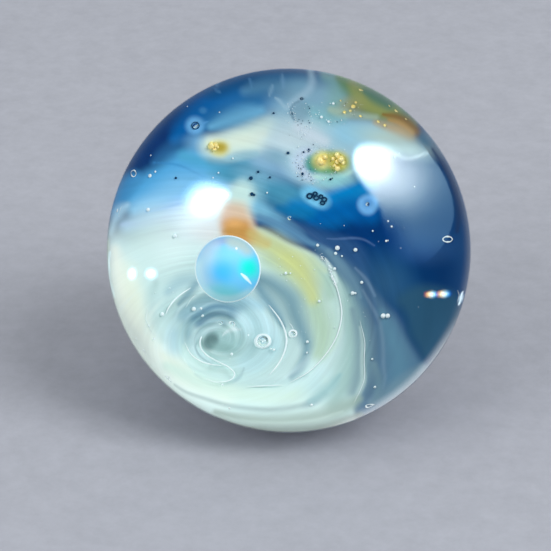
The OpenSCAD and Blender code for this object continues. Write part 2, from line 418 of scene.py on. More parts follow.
# %% [markdown]
# ### Light blues
# The middle of the dish is thinner and lighter. On a real marble these are wide
# strings of pale and teal glass, laid side by side and melted flat, so most are
# strokes with very soft edges. They run across from the left rim and sink away
# under the whirl.

# %% Light blues and teals across the middle
SKY = [
    ("left_rim_blue", (68, 146, 200), "stroke",
        [(-19.4, 4.4, 0.8), (-18.3, 6.8, 1), (-17, 8, 0.7)], 0.9, 1, 0.9),
    ("sky_line_edge", (56, 122, 176), "stroke",
        [(-15, 9.7, 0.3), (-13.9, 10.7, 0.6), (-12.2, 11.9, 0.6), (-11.2, 12.4, 0.3)], 0.5, 0, 1.1),
    ("sky", (86, 172, 224), "area",
        [(-18, 5), (-16.4, 8), (-14.4, 9.3), (-12.2, 10.8), (-10, 11.2), (-7, 9.6), (-6.4, 7.6), (-9, 6),
         (-13, 4.4)], 1, 0, 1),
    ("sky_teal", (84, 172, 208), "stroke",
        [(-11.6, 10.4, 0.6), (-9.4, 9.9, 0.9), (-7.6, 9, 0.9), (-6, 8.2, 0.8)], 0.8, 1, 1.1),
    ("sky_line", (60, 140, 200), "stroke",
        [(-15, 9.7, 0.06), (-12.4, 9.4, 0.13), (-10.3, 8.6, 0.1), (-8.6, 7.9, 0.05)], 0.6, 1, 1),
    ("under_comet", (88, 156, 184), "stroke",
        [(-8.4, 10, 0.6), (-5.6, 9.9, 0.9), (-3, 9.9, 1.1)], 0.9, 1, 1),
    ("teal", (76, 152, 182), "stroke",
        [(-8.4, 8, 0.7), (-6, 8.4, 1.1), (-3.6, 7.7, 1.5), (-1, 6.6, 1.6), (1.6, 5.4, 1.2)], 0.95, 1, 1),
    ("teal_light", (156, 210, 222), "stroke",
        [(-5.2, 7.6, 0.5), (-4.2, 6.4, 1.1), (-3.8, 4.8, 0.8), (-2.6, 4, 0.4)], 0.8, 1, 1.2),
    ("teal_haze", (122, 176, 200), "dab", ((-4, 8.3), (1.7, 0.9), -10, 1), 0.85, 1),
    ("ash", (136, 178, 206), "stroke", [(-3.4, 10.1, 0.8), (-1, 9.6, 1.4), (0.8, 8.6, 1)], 0.9, 1, 1.1),
    ("azure", (20, 128, 190), "stroke",
        [(0.6, 4.8, 0.8), (2.8, 4.6, 1.3), (5.2, 5.3, 1.6), (7.6, 6.4, 1.2), (8.6, 7.2, 0.8)], 1, 1, 1),
    ("azure_light", (0, 134, 200), "dab", ((5.9, 6.5), (1.9, 0.7), 14, 0.9), 0.85, 1),
    ("azure_deep", (0, 92, 162), "stroke",
        [(2.6, 3.4, 0.6), (5, 4.2, 1.1), (7.2, 4.6, 1.2), (9, 4.2, 1)], 0.9, 1, 1),
    ("light_edge", (122, 186, 214), "stroke",
        [(-4.6, 5.6, 0.5), (-3, 4.6, 0.8), (-1, 3, 0.7), (0.6, 2, 0.5), (3.4, 0.5, 0.2)], 0.85, 1, 1),
    ("light_blue", (138, 202, 240), "stroke",
        [(-17, 4.5, 0.7), (-15.4, 5.2, 1), (-12, 6.5, 1.5), (-9, 7, 1.2), (-6.8, 6.8, 0.6)], 1, 1, 1.1),
    ("lavender", (162, 204, 241), "stroke",
        [(-17.8, 2.6, 0.7), (-15.6, 3.2, 1), (-12, 4.4, 1.2)], 0.9, 1, 1.1),
    ("violet_line", (150, 178, 226), "stroke",
        [(-18.4, 2.8, 0.2), (-16, 2.9, 0.35), (-13.4, 3.6, 0.25)], 0.6, 1, 1.2),
    ("blue_line", (112, 176, 232), "stroke",
        [(-16, 4.2, 0.08), (-13, 4.8, 0.16), (-10.6, 5.4, 0.1)], 0.6, 1, 1),
    ("left_rim_light", (172, 212, 234), "stroke",
        [(-19.7, 1.8, 0.3), (-19.3, 3.2, 0.4), (-18.6, 4.4, 0.55), (-17.9, 5, 0.3)], 0.8, 0, 1.1),
    ("deep_teal", (8, 112, 166), "stroke",
        [(-1, 4.8, 0.4), (0.6, 4.3, 0.55), (2.4, 3.9, 0.5)], 0.75, 1, 1.1),
]
print("light blues:", len(SKY))

# %% [markdown]
# ### Haze and the comet
# Fine white powder, sifted on and melted, gives the haze. The comet is a gather
# of cream glass drawn out to one side: crisp at its head, lost in haze at its
# tail. So it is an area with a firm edge, over wide strokes without one.

# %% Haze and the comet
HAZE = [
    ("haze", (178, 215, 226), "area",
        [(-2.4, 14.4), (0.6, 14.6), (4, 15), (6.6, 14.2), (9.6, 14.4), (12, 12.4), (8.6, 10.2),
         (7.2, 8.3), (5.2, 7.3), (3.2, 7), (0.8, 8), (-1.4, 11.2)], 0.95, 1, 1.2),
    ("pool", (154, 208, 230), "dab", ((6.7, 13), (2.6, 1.4), -4, 0.7), 0.95, 0),
    ("pool_teal", (138, 194, 202), "stroke",
        [(2.2, 15.3, 0.7), (4, 14.9, 0.9), (6, 14.8, 0.5)], 0.8, 1, 1.1),
    # painted reflection: the top of the right softbox's cloth, seen in the glass
    ("veil", (198, 222, 208), "dab", ((11.8, 12), (3.6, 1.2), -14, 0.9), 0.8, 0),
    ("comet_glow", (172, 210, 224), "stroke",
        [(-8.2, 11.8, 0.8), (-6, 12.1, 1.3), (-2.6, 12.8, 1.8), (0.4, 12.8, 1.8)], 0.85, 1, 1.1),
    ("comet_sky", (116, 186, 222), "stroke",
        [(-8.6, 13.7, 0.4), (-6.6, 14.4, 0.8), (-4.6, 15, 0.9), (-3.2, 15.4, 0.5)], 0.8, 1, 1.1),
    ("comet_rim", (122, 182, 222), "dab", ((-10, 11.9), (1.2, 1), 0, 0.9), 0.8, 0),
    ("comet", (212, 237, 228), "area",
        [(-9.7, 11.5), (-9.1, 12.4), (-7.4, 12.6), (-5.4, 13.3), (-3.2, 14.3), (-1.8, 14), (-1.9, 12.6),
         (-3.4, 11.2), (-6.4, 10.3), (-9, 10.5)], 1, 0, 1),
    ("comet_light", (230, 241, 220), "stroke",
        [(-8.6, 12, 0.5), (-6.2, 12, 0.8), (-4, 12.4, 0.8), (-2.8, 12.9, 0.5)], 0.7, 0, 1),
    ("comet_end", (208, 227, 232), "dab", ((0.5, 12.4), (3.1, 1.6), 0, 0.9), 0.85, 1),
    ("foam", (212, 228, 238), "stroke",
        [(1, 13.6, 0.5), (2.4, 12.8, 0.7), (3.8, 12.1, 0.6)], 0.95, 1, 1.1),
    ("ash_line", (150, 196, 210), "stroke",
        [(-6.6, 10.2, 0.3), (-5, 10.5, 0.4), (-3.6, 10.8, 0.3)], 0.6, 1, 1.1),
    ("ash_low", (128, 172, 192), "dab", ((-1.3, 10.5), (1.2, 0.7), -20, 0.9), 0.8, 1),
    ("comet_warm", (216, 210, 128), "dab", ((-7.6, 11.3), (1.1, 0.85), -6, 0.5), 0.95, 0),
    ("comet_gold", (190, 166, 58), "dab", ((-7.4, 11.4), (0.6, 0.45), -8, 0.7), 0.9, 0),
]
print("haze and comet:", len(HAZE))

# %% [markdown]
# ### Spots with halos
# Round the gold spots the glass is stained by fumed metal, and round the
# bubbles it has soft halos. Each spot is a few dabs, one inside the other, from
# the wide halo to the bright middle. The beads of metal and the bubbles come
# later, as shapes of their own.

# %% The twin gold spots, the bubbles' halos and the ring of haze
HALOS = [
    ("spawn", (128, 164, 182), "dab", ((1.3, 15.3), (1, 1), 10, 0.5), 0.7, 0),
    ("spawn_edge", (104, 138, 160), "ring", ((1.3, 15.3), (1.1, 1.15), 80, 250, 0.12), 0.7, 0, 1),
    ("ring_haze", (200, 217, 236), "ring", ((4.1, 9.7), (2.9, 1.9), 110, 260, 0.6), 0.85, 1, 1),
    ("ring_low", (186, 226, 214), "ring", ((4.5, 9.7), (2.8, 1.75), 215, 345, 0.28), 0.95, 0, 1),
    ("under_twins", (140, 206, 210), "dab", ((5.1, 7.7), (1.9, 0.6), 6, 0.9), 0.8, 0),
    ("twin_blue", (70, 152, 166), "dab", ((2.7, 9.6), (0.9, 1), 0, 0.5), 0.95, 0),
    ("twin_green", (104, 164, 112), "dab", ((4.5, 9.7), (2.35, 1.3), -2, 0.32), 0.95, 0),
    ("twin_gold", (248, 236, 156), "dab", ((3.7, 10.05), (1, 0.9), 0, 0.6), 0.95, 0),
    ("twin_orange", (246, 202, 108), "dab", ((3.7, 9.9), (0.4, 0.35), 0, 0.7), 0.9, 0),
    ("twin_olive", (186, 188, 98), "dab", ((4.7, 9.9), (0.5, 0.9), 10, 0.7), 0.7, 0),
    ("twin_gold_b", (230, 216, 104), "dab", ((5.6, 9.9), (0.95, 1.05), 30, 0.6), 0.9, 0),
    ("cluster_glow", (124, 202, 236), "dab", ((2.95, 5.9), (1.6, 1), -28, 0.4), 0.9, 0),
    ("halo_right", (116, 180, 232), "dab", ((8.7, 5.15), (1.15, 1.05), 0, 0.3), 0.9, 0),
    ("halo_right_eye", (82, 144, 208), "dab", ((8.65, 5.25), (0.45, 0.42), 0, 0.5), 0.8, 0),
    ("halo_left", (118, 188, 238), "dab", ((-10.4, 13.8), (0.95, 0.95), 40, 0.45), 0.9, 0),
    ("halo_left_tail", (96, 164, 216), "stroke",
        [(-9.8, 13.9, 0.1), (-9.4, 14.1, 0.14), (-8.9, 14.3, 0.05)], 0.7, 0, 1),
    ("smudge", (66, 136, 188), "dab", ((-9.5, 15.5), (0.4, 0.35), 0, 0.6), 0.8, 0),
]
print("spots with halos:", len(HALOS))

# %% [markdown]
# ### The green and gold patch
# Near the upper rim a chip of green and brown glass was pressed in and smeared.
# Strokes that follow the rim overlap from teal to brown, each one narrower than
# the one below.

# %% The green and gold patch
PATCH = [
    ("patch_teal", (136, 182, 176), "stroke",
        [(4, 19.4, 0.5), (5.2, 18.6, 0.9), (5.4, 17, 1.1), (5, 15.6, 0.8)], 0.8, 1, 1.1),
    ("patch_green", (112, 150, 96), "stroke",
        [(5.6, 19.2, 0.5), (7.2, 18, 1.1), (9.4, 16.6, 1.4), (11.6, 15.4, 1.1), (13.4, 14, 0.7)],
         1, 1, 0.8),
    ("patch_olive", (160, 166, 92), "stroke",
        [(7, 18.4, 0.5), (8.2, 16.6, 0.9), (9.6, 15.8, 0.9), (11.4, 15.2, 0.8)], 0.85, 1, 1),
    ("patch_deep", (88, 132, 108), "stroke",
        [(8.4, 17.6, 0.3), (9.6, 17, 0.6), (11, 16.2, 0.5)], 0.85, 1, 1),
    ("patch_rose", (172, 170, 112), "dab", ((6.9, 16.1), (1.2, 0.8), 10, 0.8), 0.7, 1),
    ("patch_light", (178, 200, 176), "stroke",
        [(4.6, 15.6, 0.3), (6, 15.2, 0.45), (8, 14.9, 0.4), (9.6, 14.8, 0.3)], 0.7, 1, 1),
    ("patch_brown", (146, 106, 34), "stroke",
        [(10.4, 15.1, 0.15), (11.8, 14.8, 0.4), (13.1, 14.1, 0.6), (14.2, 13.1, 0.4)], 0.95, 0, 1),
    ("patch_amber", (190, 142, 60), "stroke",
        [(11, 14.5, 0.15), (12.4, 14, 0.25), (13.6, 13.1, 0.2)], 0.8, 0, 1),
    ("patch_peach", (198, 180, 138), "stroke",
        [(9.6, 14.2, 0.3), (11.4, 13.5, 0.45), (13.3, 12.8, 0.5)], 0.75, 0, 1.1),
    ("patch_blush", (214, 182, 134), "dab", ((12.3, 13.5), (1.5, 0.7), -30, 1), 0.5, 0),
    ("rim_lobe", (84, 126, 152), "dab", ((15.2, 12.4), (0.9, 0.9), 0, 0.8), 0.85, 0),
    # painted reflection: more of the right softbox's cloth, seen in the glass
    ("peach_veil", (196, 216, 208), "dab", ((12.6, 11.9), (2, 0.7), -24, 1), 0.6, 0),
    ("night_rim", (26, 50, 92), "stroke",
        [(15.9, 11.3, 0.15), (17.5, 8.7, 0.25), (18.5, 6.2, 0.35), (18.8, 4, 0.35), (18.6, 2.2, 0.2)],
         0.85, 0, 0.9),
]
print("green and gold patch:", len(PATCH))

# %% [markdown]
# ### The slate bands
# Between the blue and the whirl the melt was dragged into bands of grey-blue
# glass. Two wide areas give the field, and strokes along the flow give the bands
# and the fine lines in it.

# %% The slate bands
SLATE = [
    ("plum", (44, 84, 130), "area",
        [(-0.6, 3), (2, 2.6), (5.4, 1.9), (7.3, 0.8), (8.5, -0.8), (9, -3), (7.6, -3.4), (4, -0.6),
         (1, 0.8)], 0.95, 1, 0.8),
    ("plum_blue", (94, 142, 176), "stroke",
        [(-3.2, 3.6, 0.5), (-1, 2.8, 0.55), (0.8, 1.9, 0.5), (2.2, 1, 0.3), (4.6, -0.4, 0.35),
         (6.4, -2, 0.3)], 0.9, 1, 1),
    ("night_haze", (50, 94, 128), "dab", ((10.9, -3.6), (2.6, 2.2), -50, 1), 0.7, 0),
    ("plum_line", (92, 124, 170), "stroke",
        [(4.2, 1.5, 0.06), (6.2, 1.4, 0.14), (8, 1.1, 0.12), (9.4, 0.4, 0.05)], 0.55, 1, 1),
    ("slate", (84, 120, 146), "area",
        [(3, -0.2), (5.4, -0.6), (7.6, -2.2), (9.2, -4.2), (10.8, -6), (12.4, -7.8), (13.4, -10),
         (14.8, -12), (15.8, -13), (12, -17), (7, -18), (6.4, -8)], 0.95, 1, 0.8),
    ("slate_blue", (92, 136, 158), "stroke",
        [(10.2, -7, 0.5), (11.2, -9, 0.8), (12.2, -12, 1.1), (12, -15, 0.9)], 0.8, 1, 1.1),
    ("slate_light", (110, 146, 164), "stroke",
        [(4.4, -0.2, 0.3), (6, -1.8, 0.5), (7.4, -3.8, 0.4), (7.9, -5, 0.2)], 0.6, 1, 1.1),
    ("slate_deep", (62, 94, 130), "stroke",
        [(8.4, -3.8, 0.3), (9.2, -5.8, 0.45), (9.6, -8, 0.4)], 0.7, 1, 1),
    ("slate_edge", (84, 114, 138), "stroke",
        [(8.6, -6.6, 0.35), (9.4, -9.4, 0.5), (9.4, -13, 0.55), (8.8, -16, 0.5)], 0.8, 1, 1),
    ("slate_foot", (116, 146, 160), "stroke",
        [(9.2, -16.8, 0.4), (11, -15.9, 0.7), (13, -14.4, 0.7), (14.8, -12.8, 0.4)], 0.85, 1, 1.1),
    ("slate_line", (118, 146, 166), "stroke",
        [(8.2, -4.4, 0.1), (9.2, -6.2, 0.18), (10.1, -8.2, 0.2), (10.45, -10.4, 0.2), (10.5, -12.4, 0.2),
         (10.7, -14, 0.18), (10.5, -15.2, 0.1)], 0.5, 0, 1),
    ("slate_thin", (120, 150, 176), "stroke",
        [(7.4, -1.8, 0.1), (8.6, -3.2, 0.18), (9.6, -5, 0.14)], 0.5, 0, 1),
    ("slate_low", (108, 140, 152), "stroke",
        [(9.6, -12.6, 0.3), (10, -14.4, 0.5), (9.8, -16, 0.4)], 0.7, 0, 1.1),
    ("lake", (44, 86, 112), "area",
        [(12, -5), (13, -7.4), (13.4, -9.2), (14.2, -10.6), (15, -12), (17, -12), (19, -8.4), (18.6, -5),
         (15, -3.8)], 0.9, 1, 0.8),
    ("lake_edge", (28, 70, 104), "stroke",
        [(12.6, -6, 0.2), (13.3, -8.4, 0.35), (14.1, -10.2, 0.35), (15, -11.8, 0.25)], 0.3, 0, 1.1),
]
print("slate bands:", len(SLATE))

# %% [markdown]
# ### The pale whirl
# The whirl is white and mint glass, wound with a rod. It has one outline, firm
# where it meets the slate and soft where it thins out to the left. Inside it,
# cream and grey-green strokes follow the outline.

# %% The pale whirl
PALE_SOFT = [
    (-20.5, 1), (-16.4, 1.3), (-12.4, 2.6), (-10.6, 4.6), (-8.4, 6.4), (-5.8, 6.6), (-4.6, 4.6),
    (-6, -1), (-12, -8), (-22, -8),
]
PALE = [
    (-21, -2.4), (-16, -1), (-11, 1.4), (-8, 3.6), (-5.4, 5), (-4.4, 4.4), (-4, 2.7), (-2.9, 2.15),
    (-1, 1.4),
    (0.8, 0.6), (2.6, -0.5), (4.2, -1.6), (5.4, -3), (6.4, -5), (7, -6.9), (7.6, -8.8), (8, -10.4),
    (8.3, -12.4), (8.4, -14.2),
    (7.9, -15.5), (7.2, -17), (6, -21), (-12, -21), (-21, -12),
]
WHIRL = [
    ("mint_soft", (206, 234, 236), "area", PALE_SOFT, 1, 1, 1.6),
    ("mint", (206, 234, 231), "area", PALE, 1, 0, 0.4),
    ("mint_right", (156, 191, 186), "stroke",
        [(4.8, -2.8, 0.6), (6.4, -6, 1), (7, -10.4, 1.5), (6.6, -14, 1.5), (5, -17, 1)], 0.9, 1, 1.1),
    ("mint_shoulder", (164, 198, 186), "stroke",
        [(2.6, -1.2, 0.4), (4, -3, 0.7), (4.6, -4.8, 0.6)], 0.85, 1, 1.1),
    ("mint_pale", (204, 230, 230), "stroke",
        [(5.6, -6.4, 0.2), (5.9, -8.6, 0.3), (5.2, -11, 0.4), (3.6, -13.4, 0.4)], 0.4, 1, 1),
    ("mint_grey", (122, 152, 162), "stroke",
        [(7.1, -6.4, 0.3), (7.7, -9.4, 0.5), (7.8, -12.8, 0.6), (7.2, -15.6, 0.6)], 0.8, 2, 1.1),
    ("mint_cream", (188, 212, 208), "stroke",
        [(7.9, -8.4, 0.1), (8.2, -10, 0.2), (8.2, -12.6, 0.22), (8.3, -14.4, 0.24), (7.8, -15.7, 0.24),
         (7.1, -17, 0.15)], 0.6, 0, 1),
    ("thread_glow", (214, 236, 230), "stroke",
        [(4.1, -1.2, 0.15), (5, -3.2, 0.3), (5.6, -5, 0.3), (5.9, -6.8, 0.3), (5.7, -8.4, 0.3),
         (5.1, -10, 0.3), (3.9, -11.8, 0.25), (2.3, -13.4, 0.15)], 0.5, 0, 1),
    ("thread_knot", (218, 238, 234), "stroke",
        [(4.1, -1.1, 0.08), (4.8, -2.2, 0.26), (5.2, -3.3, 0.16)], 0.8, 1, 1),
    # painted highlight: glow is the left lamp's highlight spread over the pale glass
    ("glow", (238, 246, 246), "dab", ((-10.4, 2.8), (3.2, 1.9), 20, 1), 0.9, 0),
    ("warm_white", (232, 236, 228), "dab", ((-9.4, 2.3), (2, 0.9), 0, 1), 0.7, 1),
    ("left_mint", (206, 234, 226), "dab", ((-15.6, 0.6), (3.2, 3), 0, 1), 0.8, 1),
    ("left_glow", (230, 250, 247), "dab", ((-13.5, 0.8), (2.4, 3.2), 10, 1), 0.6, 0),
    ("cream", (238, 247, 234), "stroke",
        [(-19.2, 0, 0.5), (-18.6, -4, 1), (-17, -8, 1.6), (-14.2, -11.6, 1.8), (-10.6, -14.2, 1.4),
         (-7, -15.8, 1)], 0.9, 0, 1.4),
    ("cream_warm", (236, 243, 214), "dab", ((-17.2, -5), (1.2, 3.2), 16, 1), 0.6, 0),
    ("cream_pink", (224, 234, 216), "stroke",
        [(-13.6, -11.6, 0.4), (-11.8, -13.4, 0.8), (-10, -14.6, 0.5)], 0.8, 1, 1.1),
    ("mint_shade", (176, 206, 202), "stroke",
        [(-14.6, -3.6, 0.3), (-15.1, -5.4, 0.6), (-14.8, -7.6, 0.7), (-13.8, -9.8, 0.4)], 0.6, 0, 1.3),
    ("left_rim", (196, 216, 204), "stroke",
        [(-20, 1, 0.2), (-20, -3, 0.3), (-19.1, -7.6, 0.25), (-16.8, -12.2, 0.2), (-13.4, -15.8, 0.15)],
         0.7, 0, 1),
    ("grey_field", (194, 222, 220), "area",
        [(-14.4, -5.4), (-12, -3.6), (-8, -3.4), (-3, -3), (0.6, -4), (3, -7), (3.2, -11), (0.6, -14),
         (-4, -15), (-9.6, -13), (-13, -10.2), (-14.6, -7.6)], 0.95, 1, 1.9),
    ("grey_blue", (166, 202, 210), "stroke",
        [(-13.2, -4.6, 0.4), (-12, -3.4, 0.7), (-10.4, -3.2, 0.6)], 0.75, 1, 1.2),
    ("column", (206, 236, 228), "dab", ((-5.3, 6), (1.4, 1.6), 0, 0.6), 0.95, 0),
    ("column_foot", (232, 234, 230), "dab", ((-8.4, 2.4), (1.6, 1.6), 0, 0.9), 0.7, 0),
]
print("pale whirl:", len(WHIRL))

# %% [markdown]
# ### The lime band and the orange knot
# A bit of orange glass was set at the whirl's upper edge. The winding drew it
# out into a yellow-green tail, so the tail starts in the knot and follows the
# flow down the right.

# %% The lime band and the orange knot
LIME = [
    ("lime_soft", (174, 202, 172), "stroke",
        [(-1.8, -1, 1.2), (1, -2.8, 1.7), (2.8, -5.8, 1.6), (3.7, -8.6, 1.3), (3.4, -11.4, 0.8)],
         0.8, 2, 1.1),
    ("lime_edge", (192, 214, 186), "stroke",
        [(-2.2, 1.4, 0.2), (-1.2, 0.9, 0.3), (0.6, 0, 0.4), (2.4, -1, 0.4), (4, -2.2, 0.3)], 0.75, 1, 1),
    ("lime", (202, 212, 150), "stroke",
        [(-4, 1.5, 0.8), (-2.8, 1, 1), (-1, 0.1, 1.2), (0.6, -1.4, 1.35), (1.8, -3.2, 1.2),
         (2.6, -5.2, 0.7)], 0.95, 1, 1.05),
    ("lime_core", (208, 216, 140), "dab", ((0.6, -1.3), (1.8, 0.9), -38, 0.9), 0.7, 1),
    ("orange_top", (226, 190, 156), "area",
        [(-7.35, 2.4), (-7.4, 4.7), (-6.2, 5.3), (-4.5, 4.8), (-4.2, 2.4)], 0.85, 0, 0.8),
    ("orange", (210, 156, 88), "area",
        [(-7.3, 3), (-6, 3.5), (-4.6, 3.3), (-4.1, 2.6), (-3.7, 1.8), (-3.9, 1), (-5, 0.6), (-7.2, 1)],
         1, 0, 0.8),
    ("orange_hot", (238, 180, 112), "dab", ((-6.1, 2.8), (0.8, 0.6), 0, 1), 0.8, 0),
    ("orange_low", (202, 150, 76), "stroke",
        [(-7.2, 2, 0.3), (-5.8, 2.1, 0.4), (-4.6, 1.8, 0.4)], 0.6, 1, 1.1),
    ("orange_edge", (210, 192, 124), "stroke",
        [(-4.2, 1.7, 0.5), (-3.3, 1.2, 0.6), (-2.4, 0.9, 0.4)], 0.75, 0, 1),
]
print("lime and orange:", len(LIME))

# %% [markdown]
# ### The turns of the whirl
# Each turn of the rod leaves a thicker and a thinner place in the pale glass,
# and the blue shows through where it is thin. The wide grey stretches named
# shadow are painted shade: under the opal, down from its right side and round
# the eye. Stretches of oval rings round the eye give those turns, wide and
# soft ones first, then narrow ones.

# %% The turns of the whirl
TURNS = [
    # painted shade: the shadow entries below darken the whirl where shade falls
    ("shadow_right", (122, 160, 172), "stroke",
        [(-3.8, -3, 0.6), (-1.8, -3.7, 0.9), (0, -5.2, 1), (1, -7.2, 0.9), (1.6, -9, 0.8),
         (2, -10.8, 0.6), (1.4, -12.6, 0.5), (0.4, -14, 0.3)], 0.95, 1, 1.1),
    ("shadow_blue", (112, 154, 172), "stroke",
        [(-3.7, -3.6, 0.5), (-3, -4.9, 0.7), (-1.9, -6.1, 0.6), (-1, -7.2, 0.5), (-0.5, -8.2, 0.3)],
         0.85, 1, 1.1),
    ("shadow_top", (114, 156, 176), "ring", ((-7.3, -9.4), (3.8, 3.1), 36, 170, 1.1), 0.95, 1, 1),
    ("shadow_far", (146, 184, 194), "ring", ((-7.2, -9.6), (5.2, 4.6), 50, 170, 0.6), 0.8, 1, 1),
    ("fan", (194, 228, 234), "area",
        [(-5.4, -6.8), (-4, -6), (-2.6, -6.8), (-1.4, -8.2), (-1, -9.6), (-1.4, -11.6), (-3.6, -13.2),
         (-5.6, -12.6), (-4.6, -10), (-5.6, -8.6)], 0.9, 1, 0.9),
    ("fan_top", (160, 202, 216), "stroke",
        [(-6, -5.6, 0.4), (-4.6, -5.8, 0.6), (-3.2, -6.2, 0.5)], 0.7, 1, 1.1),
    ("inner", (172, 205, 206), "dab", ((-4, -10.8), (2.2, 1.7), 0, 0.9), 0.85, 1),
    ("left_blue", (176, 212, 222), "ring", ((-7.6, -9.8), (5.2, 4.4), 150, 215, 0.7), 0.75, 1, 1),
    ("shadow_mid", (134, 168, 178), "ring", ((-7.4, -9.7), (2.3, 1.7), 60, 150, 0.5), 0.8, 1, 1.1),
    ("shadow_crest", (134, 172, 184), "stroke",
        [(-12, -6, 0.2), (-11.1, -4.7, 0.4), (-10.5, -3.9, 0.45), (-9.8, -3.5, 0.2)], 0.85, 1, 1.1),
    ("shadow_side", (140, 178, 190), "dab", ((-11, -9.2), (0.5, 1), 0, 0.9), 0.7, 0),
    ("shadow_low", (136, 172, 180), "dab", ((-8.7, -9), (1, 0.4), 0, 0.9), 0.7, 0),
    ("shadow_line_a", (84, 124, 150), "ring", ((-7.3, -9.6), (3.5, 2.8), 60, 158, 0.1), 0.5, 1, 1),
    ("shadow_line_b", (84, 124, 150), "ring", ((-7.3, -9.6), (4.2, 3.4), 66, 140, 0.1), 0.45, 1, 1),
    ("arc_a", (212, 236, 238), "ring", ((-6.6, -9.8), (6.3, 5.9), 96, 168, 0.14), 0.6, 1, 1),
    ("arc_b", (100, 138, 160), "ring", ((-7.4, -9.6), (3.1, 2.5), 48, 168, 0.2), 0.7, 1, 1),
    ("arc_c", (168, 204, 212), "ring", ((-7.4, -9.6), (3.6, 2.95), 60, 190, 0.1), 0.6, 1, 1),
    ("arc_d", (150, 186, 196), "ring", ((-7.6, -9.7), (2.55, 2), 60, 200, 0.1), 0.7, 1, 1),
    ("arc_e", (176, 210, 218), "ring", ((-7.2, -9.5), (4.5, 3.8), 80, 215, 0.14), 0.6, 1, 1),
    ("arc_f", (222, 240, 232), "ring", ((-6.9, -9.4), (9, 6.2), 130, 190, 0.18), 0.5, 1, 1),
    ("arc_g", (214, 236, 238), "ring", ((-5.8, -9.2), (8.6, 6.4), -62, -10, 0.3), 0.4, 1, 1),
]
print("turns:", len(TURNS))

# %% [markdown]
# ### The eye and the foot
# The eye is the hole that the rod left: a dark spot, painted shade in the hole,
# with a pale sleeve and a tongue of glass that folds over below it. Under it
# the last turns flatten into long bands along the lower rim, with a painted
# shadow line at its very edge.

# %% The eye, the tongue and the bands below
EYE_AND_FOOT = [
    ("eye_sleeve", (196, 222, 226), "stroke",
        [(-7.8, -8.2, 0.3), (-9.4, -8.9, 0.4), (-10.4, -10, 0.5), (-10.2, -11.3, 0.5),
         (-8.8, -12.4, 0.4), (-7.6, -13, 0.2)], 0.85, 1, 0.9),
    ("eye_teal", (166, 202, 202), "dab", ((-6.9, -10), (1.9, 1.2), -8, 0.6), 0.95, 1),
    ("eye_light", (216, 232, 234), "stroke",
        [(-7.4, -9.3, 0.08), (-6.9, -8.9, 0.14), (-6, -8.6, 0.2), (-5, -8.6, 0.1)], 0.8, 0, 0.9),
    # painted shade: the dark eye darkens the hole of the funnel
    ("eye", (112, 142, 144), "dab", ((-8.65, -10), (0.75, 1), -12, 0.4), 1, 0),
    ("eye_floor", (148, 184, 182), "dab", ((-7.2, -10.8), (1.3, 0.5), -14, 0.8), 0.85, 1),
    ("tongue", (202, 228, 224), "stroke",
        [(-11.6, -10.4, 0.1), (-11, -11.8, 0.5), (-9.6, -13.1, 0.85), (-8, -13.6, 0.9),
         (-6.8, -13.7, 0.7)], 0.95, 0, 0.3),
    ("tongue_shade", (160, 192, 196), "stroke",
        [(-10.4, -13.7, 0.1), (-8.8, -14.7, 0.2), (-7, -14.8, 0.22), (-5.6, -14.2, 0.2), (-5, -13, 0.1)],
         0.7, 1, 1),
    ("ring_grey_a", (176, 206, 206), "stroke",
        [(-7.4, -14.9, 0.15), (-5, -15, 0.3), (-1, -14.6, 0.3), (2, -13.8, 0.2)], 0.5, 0, 1.1),
    ("band", (204, 230, 217), "stroke",
        [(-13.4, -12.8, 0.5), (-9.4, -14.8, 0.8), (-4, -16.1, 0.8), (1, -15.9, 0.8), (4, -14.4, 0.5)],
         0.9, 0, 1),
    ("band_blue", (192, 226, 230), "dab", ((3, -14.8), (1.7, 0.8), 40, 0.9), 0.7, 1),
    ("band_shade", (148, 176, 174), "stroke",
        [(-12.6, -14.8, 0.1), (-11, -15.8, 0.16), (-8.2, -16.7, 0.22), (-5.4, -17.3, 0.26),
         (-1.7, -17.6, 0.28), (2, -17, 0.3), (4, -15.8, 0.3)], 0.75, 0, 1.1),
    ("band_spot", (120, 156, 168), "dab", ((2.6, -16.8), (0.9, 0.4), 24, 0.9), 0.6, 1),
    ("band_shade_b", (150, 192, 194), "stroke",
        [(2.4, -16.6, 0.3), (3.6, -15.9, 0.6), (4.8, -14.9, 0.5), (5.8, -13.6, 0.2)], 0.8, 1, 1.1),
    ("foot", (146, 172, 162), "stroke",
        [(-8, -17.9, 0.3), (-3, -18.8, 0.6), (3, -18.4, 0.8), (6, -17.4, 0.8), (7.8, -16.4, 0.4)],
         0.85, 0, 1),
    ("foot_line", (188, 212, 204), "stroke",
        [(-8.6, -18, 0.08), (-4, -19, 0.14), (2, -18.9, 0.16), (6, -17.8, 0.1)], 0.5, 0, 1),
    # painted shadow: a dark line along the very edge of the lower rim
    ("foot_edge", (116, 138, 132), "stroke",
        [(-8, -18.6, 0.2), (-4, -19.7, 0.4), (3, -19.6, 0.45), (8, -18.1, 0.3)], 0.85, 0, 1),
]
print("eye and foot:", len(EYE_AND_FOOT))

# %% [markdown]
# ## The order on the dish
# Now all the applications go into one list, from the first laid to the last,
# and one function draws any of them.

# %% The whole layout, and the mask of one entry
LAYOUT = TOP + SKY + HAZE + HALOS + PATCH + SLATE + WHIRL + LIME + TURNS + EYE_AND_FOOT
print(len(LAYOUT), "applications of glass")


def mask_of(entry, x, y):
    """The mask of one application: its shape, times how much it covers."""
    shape, where, cover = entry[2:5]
    if shape in ("dab", "ring"):
        return cover * (dab if shape == "dab" else ring)(x, y, *where)
    draw = stroke if shape == "stroke" else area
    return cover * draw(x, y, where, entry[6])

